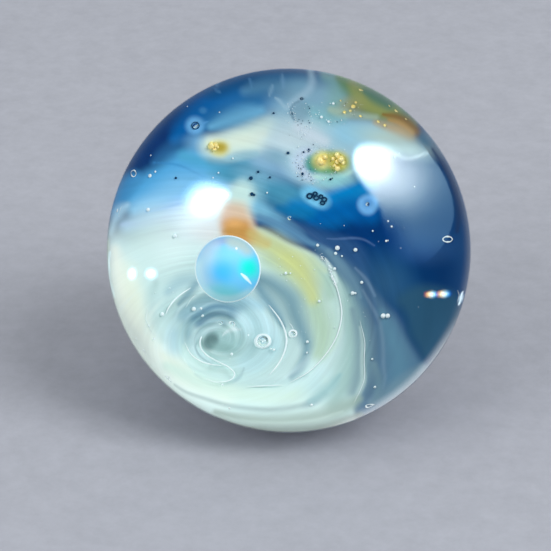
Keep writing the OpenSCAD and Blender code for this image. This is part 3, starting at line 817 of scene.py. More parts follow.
# %% [markdown]
# ## The coloured core
#
# All the coloured glass is one fused lump: a ball with a hollow face. Its
# surface is a polar grid in the lens frame. The rows run from the middle of the
# dish to the rim, spaced evenly as they are seen, over a small round at the rim
# and down the outside to the back. The funnel is drawn into the grid, and low
# spiral ridges are left where the melt was wound up.

# %% The grid of the core
AROUND = 500
FACE_ROWS, RIM_ROWS, WALL_ROWS = 148, 5, 40
FACE_SHARES, ROUNDS = (0.004, 0.9985), 40
RIM_ROUND = 0.3
RIDGE = 0.09


def core_profile():
    """Distance from the axis and height of each row. The face's rows are found
    by following sight lines to the dish; then come the round of the rim, as a
    quarter of a small circle, and an arc of the bowl to the back."""
    share = np.linspace(*FACE_SHARES, FACE_ROWS)
    r = np.zeros(FACE_ROWS)
    for _ in range(ROUNDS):
        r = sight_radius(share, dish_z(np.minimum(r, RIM_R)))
    r *= (RIM_R - RIM_ROUND) / r[-1] * share**6 + 1 - share**6
    turn = np.linspace(0, np.pi / 2, RIM_ROWS + 2)[1:-1]
    rim_r = r[-1] + RIM_ROUND * 0.9 * np.sin(turn)
    rim_z = dish_z(r[-1]) + RIM_ROUND * (0.35 * np.sin(turn) - 0.5 * (1 - np.cos(turn)))
    start = np.arccos(DISH_RISE / BOWL_R) + 0.02
    back = np.linspace(start, np.pi - 0.03, WALL_ROWS)
    wall_r, wall_z = BOWL_R * np.sin(back), BOWL_R * np.cos(back)
    return np.concatenate([r, rim_r, wall_r]), np.concatenate([dish_z(r), rim_z, wall_z])


row_r, row_z = core_profile()
angle = np.arange(AROUND) / AROUND * 2 * np.pi
rings = np.stack([
    row_r[:, None] * np.cos(angle), row_r[:, None] * np.sin(angle), row_z[:, None] + 0 * angle
], -1)
FACE = np.repeat(np.arange(len(row_r)) < FACE_ROWS, AROUND)
flat = rings.reshape(-1, 3)
flat[FACE] = drawn_down(flat[FACE])

# %% [markdown]
# ## The flow of the melt
#
# A rod was set into the soft glass at the eye and turned, so everything near it
# was wound into a spiral. Along such a spiral the logarithm of the distance
# from the eye grows steadily with the angle. The phase below is constant along
# those lines, so a pattern that varies quickly with the phase and slowly with
# the distance gives long streaks that wind into the eye.

# %% Flow coordinates round the eye
EYE_SEEN = np.array([-7.7, -9.8])
WINDING = 0.17
OVAL = 1.25


def flow(x, y):
    """Cosine and sine of the spiral phase, and the logarithm of the distance.
    The phase is the logarithm over the winding, less the angle round the eye.
    The whirl is a little wider than high, so heights count more."""
    u, v = x - EYE_SEEN[0], OVAL * (y - EYE_SEEN[1])
    log_rho = np.log(np.maximum(np.hypot(u, v), 0.6))
    phase = log_rho / WINDING - np.arctan2(v, u)
    return np.stack([np.cos(phase), np.sin(phase), log_rho], -1)


def drift(x, y, size, amount, seed):
    """A gentle wandering of places: half the sum of five waves of random
    direction and phase, none shorter than half the size."""
    rng = np.random.default_rng(seed)
    turn, shift = rng.uniform(0, 2 * np.pi, (2, 5))
    pace = rng.uniform(0.6, 2, 5) / size * 2 * np.pi
    waves = [np.sin(p * (x * np.cos(t) + y * np.sin(t)) + s) for t, s, p in zip(turn, shift, pace)]
    return amount * sum(waves) / 2


RIDGES_END, RIDGES_START = (12.5, 9), (0.8, 2.5)
seen_x, seen_y = seen_at(flat)
melt = flow(seen_x, seen_y)
near_eye = np.hypot(seen_x - EYE_SEEN[0], seen_y - EYE_SEEN[1])
wound = ramp(near_eye, *RIDGES_END) * ramp(near_eye, *RIDGES_START) * FACE
ridges = RIDGE * wound * (2 * melt[:, 0] ** 2 - 1)
flat[:, 2] += ridges
core = skin(flat.reshape(rings.shape))
print(f"ridges up to {ridges.max():.2f} mm high, seen field {seen_x.min():.1f} to {seen_x.max():.1f} mm")

# %% Masks of every application of glass on the core
def with_ends(values):
    """Adds the values of the two closing points: those of the first and last ring."""
    return np.concatenate([values, values[:1], values[-1:]])


CALM_SHARE, CALM_RIM = 0.8, (12, 17)
DRIFT_SIZE, DRIFT_AMOUNT = 8, 0.12
WISPS_END, WISPS_BELOW = (17, 11), 8
calm = 1 - CALM_SHARE * ramp(np.hypot(seen_x, seen_y), *CALM_RIM)
wander_x = seen_x + calm * drift(seen_x, seen_y, DRIFT_SIZE, DRIFT_AMOUNT, 3)
wander_y = seen_y + calm * drift(seen_x, seen_y, DRIFT_SIZE, DRIFT_AMOUNT, 5)
masks = {entry[0]: with_ends(mask_of(entry, wander_x, wander_y)) for entry in LAYOUT}
height = np.repeat(row_z, AROUND)
masks["back"] = with_ends(np.where(FACE, 0, ramp(height, DISH_RISE - 0.2, DISH_RISE - 6)))
masks["flow"] = with_ends(melt)
masks["calm"] = with_ends(calm)
masks["wound"] = with_ends(ramp(near_eye, *WISPS_END) * (seen_y < WISPS_BELOW))
print(len(masks), "fields on", len(core[0]), "points")

# %% [markdown]
# ## Finishes
#
# A finish is a small tree of nodes. Two helpers keep the trees readable: one
# starts an empty material, the other adds a node and joins its sockets. Plain
# numbers are set on the socket itself, so that an exporter keeps them.

# %% Helpers for node trees
def linear(colour, alpha=True):
    """A colour written as 0 to 255, as linear light: under 0.04045 divided by
    12.92, above it raised to 2.4 after an offset of 0.055."""
    c = np.asarray(colour, float) / 255
    c = np.where(c <= 0.04045, c / 12.92, ((c + 0.055) / 1.055) ** 2.4)
    return (*c.tolist(), 1.0) if alpha else tuple(c.tolist())


def empty_material(name):
    """A material with nothing in it but its output."""
    made = bpy.data.materials.new(name)
    made.use_nodes = True
    made.node_tree.nodes.clear()
    return made, made.node_tree, made.node_tree.nodes.new("ShaderNodeOutputMaterial")


def node(tree, kind, sockets=None, **settings):
    """Adds a node, sets its properties, and sets or joins its input sockets."""
    made = tree.nodes.new("ShaderNode" + kind)
    for key, value in settings.items():
        setattr(made, key, value)
    for key, value in (sockets or {}).items():
        if isinstance(value, bpy.types.NodeSocket):
            tree.links.new(value, made.inputs[key])
        else:
            made.inputs[key].default_value = value
    return made


def maths(tree, operation, first, second, third=0.0):
    """One sum on two or three numbers or sockets."""
    return node(tree, "Math", {0: first, 1: second, 2: third}, operation=operation).outputs[0]


def blend(tree, amount, under, over, mode="MIX"):
    """One colour laid over another by an amount."""
    mix = node(tree, "Mix", {0: amount, 6: under, 7: over}, data_type="RGBA", blend_type=mode)
    return mix.outputs[2]


def field(tree, name):
    """A mask that the mesh carries."""
    return node(tree, "Attribute", attribute_name=name)


def shaded(tree, colour, amount):
    """A colour made lighter or darker: all three parts times one number."""
    grey = node(tree, "CombineColor", {"Red": amount, "Green": amount, "Blue": amount})
    return blend(tree, 1.0, colour, grey.outputs[0], "MULTIPLY")


def surfaced(tree, output, sockets):
    """Ends a finish: one Principled surface, joined to the output."""
    surface = node(tree, "BsdfPrincipled", sockets)
    tree.links.new(surface.outputs[0], output.inputs["Surface"])


def grained(name, scale, detail=2.0):
    """Starts a finish with fine noise that is fixed to the object. Gives the
    material, its tree, its output and the noise."""
    made, tree, output = empty_material(name)
    place = node(tree, "TexCoord").outputs["Object"]
    noise = node(tree, "TexNoise", {"Vector": place, "Scale": scale, "Detail": detail})
    return made, tree, output, noise.outputs["Fac"]


def laid_glass(tree, ground, layout, streaks):
    """The colours of a layout laid over a ground, in order. A streak value s
    pushes each mask m to m + 4 s m (1 - m), which moves its edge and leaves
    full and empty glass alone."""
    pushes = [(maths(tree, "MULTIPLY", s, 4.0), maths(tree, "MULTIPLY", s, -4.0)) for s in streaks]
    colour = linear(ground)
    for entry in layout:
        mask = field(tree, entry[0]).outputs["Fac"]
        up, down = pushes[entry[5]]
        room = maths(tree, "MULTIPLY_ADD", mask, down, up)
        amount = maths(tree, "MULTIPLY_ADD", room, mask, mask)
        colour = blend(tree, amount, colour, linear(entry[1]))
    return colour

# %% [markdown]
# ## The finish of the coloured core
#
# The layout gives where each glass lies; the melt gives the streaks. Noise read
# in the flow coordinates is drawn out along the spiral. It pushes the masks, so
# the edges break into threads, it shades the glass a little lighter and darker,
# and where it peaks it leaves white wisps, as thin air lines do.

# %% The streaked glass of the core
GRAIN_AMOUNTS = (0.12, 0.35, 0.6, 0.85)
AIR_WHITE, BACK_DEEP, BACK_PALE = (206, 228, 236), (8, 56, 112), (96, 160, 202)
core_glass, tree, output = empty_material("coloured_core_glass")
melt_lines = field(tree, "flow").outputs["Vector"]


def streak_noise(stretch, detail):
    """Noise in the flow coordinates, centred on 0: stretch is how fast it
    varies across the streaks and along them."""
    scaled = node(tree, "VectorMath", {0: melt_lines, 1: stretch}, operation="MULTIPLY")
    noise = node(tree, "TexNoise", {
        "Vector": scaled.outputs[0], "Scale": 1.0, "Detail": detail, "Roughness": 0.6
    })
    return maths(tree, "SUBTRACT", noise.outputs["Fac"], 0.5)


broad = streak_noise((1.6, 1.6, 2.2), 5)
fine = streak_noise((5.0, 5.0, 3.0), 4)
place = node(tree, "TexCoord").outputs["Object"]
cloud_noise = node(tree, "TexNoise", {"Vector": place, "Scale": 330.0, "Detail": 5.0, "Roughness": 0.55})
cloud = maths(tree, "SUBTRACT", cloud_noise.outputs["Fac"], 0.5)
mixed = maths(tree, "MULTIPLY_ADD", broad, 0.7, maths(tree, "MULTIPLY", fine, 0.5))
mixed = maths(tree, "MULTIPLY_ADD", cloud, 0.25, mixed)
fine = maths(tree, "MULTIPLY", fine, field(tree, "calm").outputs["Fac"])
mixed = maths(tree, "MULTIPLY", mixed, field(tree, "calm").outputs["Fac"])
streaks = [maths(tree, "MULTIPLY", mixed, amount) for amount in GRAIN_AMOUNTS]
glass_colour = laid_glass(tree, GROUND, LAYOUT, streaks)

lighter = maths(tree, "MULTIPLY_ADD", fine, 0.34, maths(tree, "MULTIPLY_ADD", broad, 0.3, 1.0))
glass_colour = shaded(tree, glass_colour, lighter)
wisp = node(tree, "MapRange", {"Value": broad, "From Min": 0.1, "From Max": 0.3, "To Max": 0.35})
wisp = maths(tree, "MULTIPLY", wisp.outputs[0], field(tree, "wound").outputs["Fac"])
glass_colour = blend(tree, wisp, glass_colour, linear(AIR_WHITE))

# %% The back of the core, and its surface
back_noise = node(tree, "TexNoise", {
    "Vector": node(tree, "Mapping", {"Vector": place, "Scale": (1.0, 1.0, 2.6)}).outputs[0],
    "Scale": 90.0, "Detail": 6.0, "Roughness": 0.55, "Distortion": 1.4
})
back_wisp = node(tree, "MapRange", {
    "Value": back_noise.outputs["Fac"], "From Min": 0.5, "From Max": 0.78, "To Max": 0.7
})
back_colour = blend(tree, back_wisp.outputs[0], linear(BACK_DEEP), linear(BACK_PALE))
glass_colour = blend(tree, field(tree, "back").outputs["Fac"], glass_colour, back_colour)
bump = node(tree, "Bump", {"Height": mixed, "Strength": 0.12, "Distance": 0.0002})
surfaced(tree, output, {
    "Base Color": glass_colour, "Roughness": 0.5, "Specular IOR Level": 0.0, "Normal": bump.outputs[0]
})
piece(
    "coloured_core", core, core_glass,
    ("blue_ground", "pale_swirl", "amber_streak", "comet_streak", "green_patch"), masks
)

# %% [markdown]
# ## White threads
#
# Fine white lines lie in the whirl and on the slate bands: thin rods of white
# glass, melted in and drawn out. Each is a tube along a curve on the coloured
# face. Its ends thin out to almost nothing, so it reads as drawn glass and not
# as wire.

# %% Tubes along the face
def tube(path, radius, sides=8):
    """Rings of a tube: at each point of the path, a circle in the plane of two
    directions square to the path's run. Its radius swells from the ends as the
    root of the sine of the way along."""
    run = np.gradient(path, axis=0)
    run /= np.linalg.norm(run, axis=1, keepdims=True)
    aside = np.cross(run, [0, 0, 1.0])
    aside /= np.linalg.norm(aside, axis=1, keepdims=True)
    above = np.cross(aside, run)
    swell = radius * np.sqrt(np.sin(np.linspace(0.03, np.pi - 0.03, len(path))))
    a = np.arange(sides) / sides * 2 * np.pi
    circle = np.cos(a)[:, None] * aside[:, None] + np.sin(a)[:, None] * above[:, None]
    return path[:, None] + swell[:, None, None] * circle


THREADS = [
    (0.06, [(-10.8, -4.15), (-11.8, -4.8), (-12.7, -5.6), (-13.3, -6.4), (-13.6, -7.1)]),
    (0.07, [(-2.2, -6), (-1.1, -7.4), (-0.45, -8.7), (-0.2, -10), (-0.5, -11.4), (-1.2, -12.7),
        (-2.1, -13.8)]),
    (0.05, [(4.4, -1.8), (5.1, -3.4), (5.6, -5), (5.9, -6.8), (5.7, -8.4), (5.1, -10), (3.9, -11.8),
        (2.3, -13.4), (0.2, -14.6)]),
    (0.04, [(-4.6, -15.1), (-2.6, -15), (-0.6, -14.9)]),
    (0.055, [(-6.3, -8.75), (-7.3, -8.5), (-8.4, -8.55), (-9.2, -9), (-9.75, -9.9), (-9.7, -10.8),
        (-9.1, -11.6), (-7.8, -12.35), (-6.6, -12.95), (-5.95, -13.7), (-6.5, -14.4), (-8, -14.6),
        (-9.2, -14.2)]),
    (0.045, [(-11.5, -10.2), (-10.8, -11.5), (-9.7, -12.3), (-8.5, -12.65), (-7.4, -12.75)]),
    (0.03, [(-15.6, -6.6), (-15.8, -7.6), (-15.5, -8.4), (-14.9, -9.4)]),
    (0.025, [(7.9, -7.7), (8.45, -10), (8.4, -12), (8.45, -14), (8, -15.4), (7.3, -16.8)]),
    (0.02, [(0, -7.9), (0.5, -8.6), (0.3, -9.4)]),
    (0.02, [(-11.4, -6.4), (-10.6, -5.2), (-9.4, -4.5)]),
    (0.03, [(18.7, -4.3), (18.9, -5), (18.7, -5.8)]),
    (0.03, [(-18.5, 4.9), (-18.75, 4.2), (-18.8, 3.6)]),
]
LIFT = 0.07


def thread(radius, points):
    """A tube along a curve of seen places, lifted just clear of the face."""
    seen = curve(points, 14)
    return skin(tube(on_face(seen[:, 0], seen[:, 1]) + [0, 0, LIFT], radius))


CANE_SHADE, CANE_WHITE = (214, 236, 238), (250, 254, 254)
white_glass, tree, output, milk = grained("white_cane_glass", 900.0, 3.0)
milky = blend(tree, milk, linear(CANE_SHADE), linear(CANE_WHITE))
surfaced(tree, output, {"Base Color": milky, "Roughness": 0.35, "Specular IOR Level": 0.0})
threads = together([thread(*t) for t in THREADS])
piece("white_threads", threads, white_glass, ("white_canes",))

# %% [markdown]
# ## Seeds
#
# Glass worked in a flame traps grains and tiny gas seeds. The pale ones read as
# white dots of a tenth of a millimetre or two, thickest round the whirl and in
# the haze: some are white grains, and some are painted highlights, white beads
# where a small bubble catches the light. A few are dark, where the sight line
# meets an empty bubble edge on; those dark beads are painted shade. The white
# and dark hoops are the bright and the dark rims of bubbles, painted the same
# way.
# Some are listed one by one, and the rest are scattered with a fixed seed.

# %% Pale and dark seeds on the face
# partly white grains, partly painted highlights where small bubbles catch the light
GRAIN_AND_GLINT_SEEDS = [
    (4.5, -1.7, 0.12), (5.1, -2, 0.16), (4.8, -2.9, 0.12), (7.1, -4.7, 0.2), (7.4, -4.7, 0.12),
    (8.1, -3.5, 0.16), (10.5, -7.2, 0.26), (11, -7.2, 0.24), (3.2, 0.6, 0.16), (5.4, 0.3, 0.24),
    (5.2, -0.3, 0.16), (7.4, 0.1, 0.2), (5.9, -0.6, 0.1), (10.8, 1.1, 0.12), (11, 1.15, 0.07),
    (11.4, 2.7, 0.11), (11, 3.3, 0.09), (13.9, 7.1, 0.08), (9.3, 2.2, 0.1), (-10.5, -6.5, 0.22),
    (-9.7, -6.45, 0.14), (-9.55, -7.2, 0.17), (-7.9, -8.9, 0.12), (-0.3, -2.5, 0.15), (0.2, -2.5, 0.09),
    (3.4, -5.6, 0.15), (9.6, -15.1, 0.16), (9.3, -12, 0.12), (-6.5, -17.5, 0.16), (2.6, -17.1, 0.16),
    (-15.4, 8.25, 0.22), (-14.8, 8.7, 0.12), (-15.6, 4.5, 0.22), (-19.1, 4.4, 0.22), (-7.8, 8.6, 0.09),
    (-8.4, 8.05, 0.08), (-7.7, 15.3, 0.08), (-16.6, -11.5, 0.22), (-16.3, -11.8, 0.14),
    (-17.4, -10.1, 0.14), (-13.6, -14.3, 0.24), (-13.1, -14.6, 0.18), (-15.5, -8.4, 0.14),
    (-6.26, -11.5, 0.16), (-14, -7.1, 0.24), (-3.1, -9.6, 0.2), (-2.4, -10.3, 0.18),
    (-3.3, -10.3, 0.14), (-14.9, -9.85, 0.16), (-4.45, -9.4, 0.14), (2.1, -10.1, 0.15),
    (2.06, -11.3, 0.1), (-1.6, -11, 0.14), (-1.9, -10.9, 0.1), (-7.3, -14.9, 0.12), (-12.6, 1.6, 0.22),
    (3.6, 14.8, 0.16), (4.4, 14.3, 0.14), (4.9, 16.3, 0.16), (-15.3, 10.5, 0.1), (-12.3, 17.4, 0.08),
    (-6.2, 10.2, 0.1), (-2.4, 6.4, 0.09), (12.2, 10.8, 0.06),
]
# painted shade: dark beads where bubbles are seen dark, edge on
DARK_SEEDS = [
    (-4.2, 8, 0.19), (-3.4, 8.7, 0.13), (-2.1, 8.1, 0.11), (-12.5, 8, 0.12), (-4.1, 6.25, 0.18),
    (-3.85, 6.15, 0.13), (-0.1, 10.8, 0.15), (-7.4, 6, 0.12), (-1.7, 15.2, 0.11), (1.5, 8.5, 0.14),
    (1.6, 10.9, 0.1), (2.2, 11.2, 0.1), (4.6, 7.9, 0.12), (11.6, 10.4, 0.12),
]
SCATTERED = [
    ((3.4, 9.9), (2.9, 2.1), 90), ((1.3, 14.6), (1.6, 1.9), 40), ((5, 15.4), (3.4, 1.4), 40),
    ((-4, -8), (11, 8), 60), ((7, -4), (8, 8), 26),
]
FOAM = [
    ([(3.6, -0.6), (4.3, -1.4), (4.7, -2.3), (4.9, -3.1), (5.3, -3.9)], 150, 0.1, 0.065),
    ([(2.8, 11.7), (1.9, 10.7), (1.2, 9.4), (1.4, 8.4), (2.5, 7.8)], 80, 0.35, 0.06),
    ([(0.5, 16.4), (0.2, 15.4), (0.8, 14.4), (2.2, 13.4)], 46, 0.3, 0.05),
]
BED, SEED_SHARE = 0.07, 0.7
DROP, SPECK = (7, 10), (4, 6)
CLOUD_LIMIT = 18.6
DARK_SHARE, DARK_ABOVE = 0.22, 2
HOOP_STEPS, HOOP_SIDES = 24, 8


def scattered(centre, size, count, rng):
    """Places thrown round a centre: directions even, distances near 0.85 of the
    half size with some spread, and sizes small with a few large ones."""
    turn, far = rng.uniform(0, 2 * np.pi, count), rng.normal(0.85, 0.2, count)
    places = np.array(centre) + np.array(size) * (far * np.array([np.cos(turn), np.sin(turn)])).T
    return np.column_stack([places, 0.03 + 0.05 * rng.random(count) ** 3])


def foam(points, count, spread, size, rng):
    """Fine seeds along a curve: each one starts from a random point of it and
    strays by a normal spread; sizes run from two fifths to the whole."""
    path = curve(points, 12)
    places = path[rng.integers(len(path), size=count)] + rng.normal(0, spread, (count, 2))
    return np.column_stack([places, size * (0.4 + 0.6 * rng.random(count))])


def dots(seeds, rows, columns):
    """A small sphere on the face for every seen place. Its radius is a share of
    the size that is seen, because the lens magnifies it."""
    seeds = np.asarray(seeds)
    at = on_face(seeds[:, 0], seeds[:, 1]) + [0, 0, BED]
    radii = seeds[:, 2] * SEED_SHARE
    return together([skin(sphere_rings(p, r, rows, columns)) for p, r in zip(at, radii)])


def hoop(x, y, wide, high, thick):
    """A small ring on the face, as the rim of a bubble is seen: a circle,
    stretched to its width and height, swept by a smaller circle."""
    turn = np.arange(HOOP_STEPS) / HOOP_STEPS * 2 * np.pi
    path = on_face(x + wide * np.cos(turn), y + high * np.sin(turn)) + [0, 0, BED]
    outward = path - path.mean(0)
    outward /= np.linalg.norm(outward, axis=1, keepdims=True)
    a = np.arange(HOOP_SIDES) / HOOP_SIDES * 2 * np.pi
    swept = np.cos(a)[:, None] * outward[:, None] + np.sin(a)[:, None] * [0, 0, 1.0]
    tubes = path[:, None] + thick * swept
    row = (np.arange(HOOP_STEPS) * HOOP_SIDES)[:, None]
    ahead = np.roll(row, -1, 0)
    i, following = np.arange(HOOP_SIDES), (np.arange(HOOP_SIDES) + 1) % HOOP_SIDES
    here, after, over, beyond = row + i, row + following, ahead + i, ahead + following
    halves = [np.stack([here, over, beyond], -1), np.stack([here, beyond, after], -1)]
    points = tubes.reshape(-1, 3)
    return points, facing_out(points, np.concatenate(halves).reshape(-1, 3))


# painted highlights: white hoops are the bright rims of bubbles
BUBBLE_GLINT_HOOPS = [
    (17.6, 1.3, 0.52, 0.3, 0.08), (-2.85, -10.05, 0.68, 0.58, 0.2), (0.5, -9.2, 0.34, 0.3, 0.12),
    (-7.6, -8.05, 0.28, 0.24, 0.12), (-6.3, -8.2, 0.26, 0.22, 0.12), (-17.2, 8.5, 0.28, 0.36, 0.07),
    (-13.5, -14.2, 0.4, 0.24, 0.08), (9.1, -17.2, 0.5, 0.2, 0.1),
]
# painted shade: dark hoops are the dark rims of bubbles
BUBBLE_SHADE_HOOPS = [
    (2.3, 6.04, 0.28, 0.26, 0.06), (2.9, 6.3, 0.22, 0.18, 0.055), (3.04, 5.85, 0.26, 0.22, 0.055),
    (3.55, 5.98, 0.19, 0.19, 0.05), (3.93, 5.65, 0.25, 0.23, 0.055), (3.74, 5.3, 0.23, 0.2, 0.055),
    (-10.35, 13.8, 0.4, 0.38, 0.045), (1.4, 16.8, 0.14, 0.12, 0.03),
]
rng = np.random.default_rng(7)
clouds = np.vstack([scattered(*s, rng) for s in SCATTERED] + [foam(*f, rng) for f in FOAM[1:]])
streak_foam = foam(*FOAM[0], rng)
clouds = clouds[np.hypot(clouds[:, 0], clouds[:, 1]) < CLOUD_LIMIT]
dark = (rng.random(len(clouds)) < DARK_SHARE) & (clouds[:, 1] > DARK_ABOVE)
bubble_glint_rims = together([hoop(*h) for h in BUBBLE_GLINT_HOOPS])
bubble_shade_rims = together([hoop(*h) for h in BUBBLE_SHADE_HOOPS])
specks = np.vstack([clouds[~dark], streak_foam])
grain_and_glint_dots = together([dots(GRAIN_AND_GLINT_SEEDS, *DROP), dots(specks, *SPECK)])
bubble_shade_dots = together([dots(DARK_SEEDS, *DROP), dots(clouds[dark], *SPECK)])
piece("white_seeds", together([grain_and_glint_dots, bubble_glint_rims]), white_glass)

# painted shade: the dark beads and hoops stand for the dark look of bubbles
BUBBLE_SHADE_DARK, BUBBLE_SHADE_BLUE = (6, 34, 66), (34, 78, 112)
bubble_shade_glass, tree, output, shade = grained("painted_bubble_shade", 1500.0)
bubble_shade = blend(tree, shade, linear(BUBBLE_SHADE_DARK), linear(BUBBLE_SHADE_BLUE))
surfaced(tree, output, {"Base Color": bubble_shade, "Roughness": 0.3, "Specular IOR Level": 0.0})
piece("dark_seeds", together([bubble_shade_dots, bubble_shade_rims]), bubble_shade_glass)

# %% [markdown]
# ## Gold
#
# The yellow points are fumed metal: small lumps that drew together in the
# flame. They are spheres whose radius is pushed in and out by a few waves, so
# each has its own facets to glint, set just above the face.

# %% Lumps of metal
LUMPS = [
    (-8.6, 11.55, 0.36), (-8.15, 11.7, 0.24), (-8.3, 11.2, 0.24), (-7.9, 11.45, 0.16), (3.6, 10, 0.42),
    (4, 10.4, 0.28), (3.3, 9.7, 0.24), (5.35, 10.6, 0.24), (5.75, 10.15, 0.32), (5.3, 9.9, 0.22),
    (5.4, 9.1, 0.28), (6, 9.8, 0.22), (4.9, 10.2, 0.18), (5.1, 9.45, 0.2), (7.1, 16, 0.24),
    (6.15, 15.3, 0.18), (8.1, 18.2, 0.26), (12, 15.7, 0.26), (11.3, 16.3, 0.16), (10.6, 13.9, 0.17),
    (9.9, 14.3, 0.16), (4.9, 16.3, 0.12), (7.9, 14.9, 0.13), (13.1, 14.8, 0.2), (7.4, 16.4, 0.14),
    (5.7, 16.6, 0.1), (6.8, 15.5, 0.14),
]
LUMP_SHARE, PROUD = 0.72, 0.4


def lump(place, radius, rng):
    """A sphere whose radius is one plus about a tenth of the sum of three waves
    in random directions, shrunk to the lump's share of the listed size."""
    rings = sphere_rings((0, 0, 0), 1, 12, 18)
    turn = rng.normal(0, 2.2, (3, 3))
    bulge = 1 + 0.16 * np.sin(rings @ turn + rng.uniform(0, 6, 3)).sum(-1, keepdims=True) / 1.5
    return skin(place + radius * LUMP_SHARE * rings * bulge)


GOLD_DEEP, GOLD_BRIGHT = (250, 212, 108), (255, 252, 184)
gold_metal, tree, output, grain = grained("fumed_gold", 2600.0, 3.0)
gilt = blend(tree, grain, linear(GOLD_DEEP), linear(GOLD_BRIGHT))
bump = node(tree, "Bump", {"Height": grain, "Strength": 0.5, "Distance": 0.0002})
surfaced(tree, output, {
    "Base Color": gilt, "Metallic": 0.2, "Roughness": 0.35, "Normal": bump.outputs[0]
})
rng = np.random.default_rng(11)
sizes = np.array(LUMPS)
beds = on_face(sizes[:, 0], sizes[:, 1]) + np.array([0, 0, 1.0]) * sizes[:, 2:] * PROUD
lumps = together([lump(p, r, rng) for p, r in zip(beds, sizes[:, 2])])
piece("gold_beads", lumps, gold_metal, ("gold_flecks",))

# %% [markdown]
# ## The opal
#
# The bead is polished opal: milky blue, with patches of play of colour that
# have soft borders of their own. It gets a layout too, laid on the sphere as it
# is seen from the front. Its bright edge is a painted highlight: Layer Weight
# mixes a pale colour into the stone near its outline, from any side. A faint
# emission of the stone's own colours is a painted glow.

# %% The opal's sphere and its play of colour
opal_low, opal_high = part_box("opal")
OPAL_EASE, SUNK = 0.97, 0.09
OPAL_R = OPAL_EASE * (opal_high.x - opal_low.x) / 2 / MM
opal_middle = np.array((opal_low + opal_high) / 2) / MM
OPAL_CENTRE = np.array([opal_middle @ RIGHT, opal_middle @ UP - SUNK, opal_middle @ OUT])
OPAL_SEEN = np.array([-6.72, -2.08])
OPAL = [
    ("opal_left", (174, 216, 236), "dab", ((-2.4, 0.4), (1.5, 2.9), 0, 0.7), 0.9, 1),
    ("opal_top", (128, 208, 242), "dab", ((0.6, 2), (1.7, 1.2), 20, 0.8), 0.9, 1),
    ("opal_vivid", (60, 186, 246), "dab", ((-0.8, -0.3), (1.2, 1.1), 0, 0.9), 0.85, 1),
    ("opal_grey", (146, 186, 196), "dab", ((1.1, 3.1), (1.7, 0.6), -20, 0.6), 0.8, 1),
    ("opal_lilac", (150, 160, 200), "dab", ((-0.8, 3.1), (1, 0.4), 10, 0.8), 0.6, 1),
    ("opal_foot", (120, 210, 216), "dab", ((-0.4, -3.1), (2.7, 1.2), 0, 0.8), 0.9, 1),
    ("opal_flash", (20, 228, 212), "dab", ((2.4, 0.1), (1, 1.1), 10, 0.8), 0.95, 1),
    ("opal_crown", (172, 194, 192), "ring", ((0, 0), (3, 3), 20, 105, 0.6), 0.85, 1),
    ("opal_shoulder", (178, 206, 228), "ring", ((0, 0), (3, 3), 95, 160, 0.55), 0.6, 1),
    ("opal_mist", (200, 236, 240), "ring", ((0, 0), (3.35, 3.35), 150, 330, 0.4), 0.55, 1),
    # painted highlights: the glint and the star below are light caught on the polish
    ("opal_glint", (226, 246, 252), "stroke",
        [(1.5, -0.5, 0.08), (2, -0.95, 0.17), (2.6, -1.6, 0.05)], 0.95, 0, 0.5),
    ("opal_star", (255, 255, 255), "dab", ((0.95, 2.3), (0.11, 0.11), 0, 0.6), 0.9, 0),
]
OPAL_MILK, OPAL_RIM_HIGHLIGHT = (108, 196, 242), (230, 248, 250)
OPAL_GRID = (90, 180)
opal_rings = sphere_rings((0, 0, 0), OPAL_R, *OPAL_GRID)
opal_shape = skin(OPAL_CENTRE + opal_rings)
opal_x, opal_y = seen_at(opal_shape[0])
opal_masks = {e[0]: mask_of(e, opal_x - OPAL_SEEN[0], opal_y - OPAL_SEEN[1]) for e in OPAL}
front = ramp(opal_shape[0][:, 2] - OPAL_CENTRE[2], -0.6, 0.4)
opal_masks = {name: mask * front for name, mask in opal_masks.items()}

opal_stone, tree, output = empty_material("polished_opal")
place = node(tree, "TexCoord").outputs["Object"]
flecks = node(tree, "TexVoronoi", {"Vector": place, "Scale": 700.0}, feature="SMOOTH_F1")
play = maths(tree, "MULTIPLY", maths(tree, "SUBTRACT", flecks.outputs["Distance"], 0.4), 0.35)
stone = laid_glass(tree, OPAL_MILK, OPAL, [0.0, play])
# painted highlight: a pale rim mixed into the colour by Layer Weight
edge = node(tree, "LayerWeight", {"Blend": 0.5})
rim = node(tree, "MapRange", {"Value": edge.outputs["Facing"], "From Min": 0.68, "From Max": 0.84})
stone = blend(tree, rim.outputs[0], stone, linear(OPAL_RIM_HIGHLIGHT))
# painted glow: the stone emits a little of its own colour, though it is no lamp
surfaced(tree, output, {
    "Base Color": stone, "Roughness": 0.18, "IOR": 1.45, "Specular IOR Level": 0.0,
    "Emission Color": stone, "Emission Strength": 0.22
})
piece("opal_bead", opal_shape, opal_stone, ("opal",), opal_masks)

# %% [markdown]
# ## The clear ball and its bubbles
#
# The clear glass is one closed sphere round everything. A gas bubble is a hole
# in it, so it is a small sphere in the same mesh that faces inward. The finish
# is clear glass for what is seen. For light on its way to the coloured glass it
# lets through plainly, by two Light Path switches, which keeps the inside evenly
# lit and free of noise.

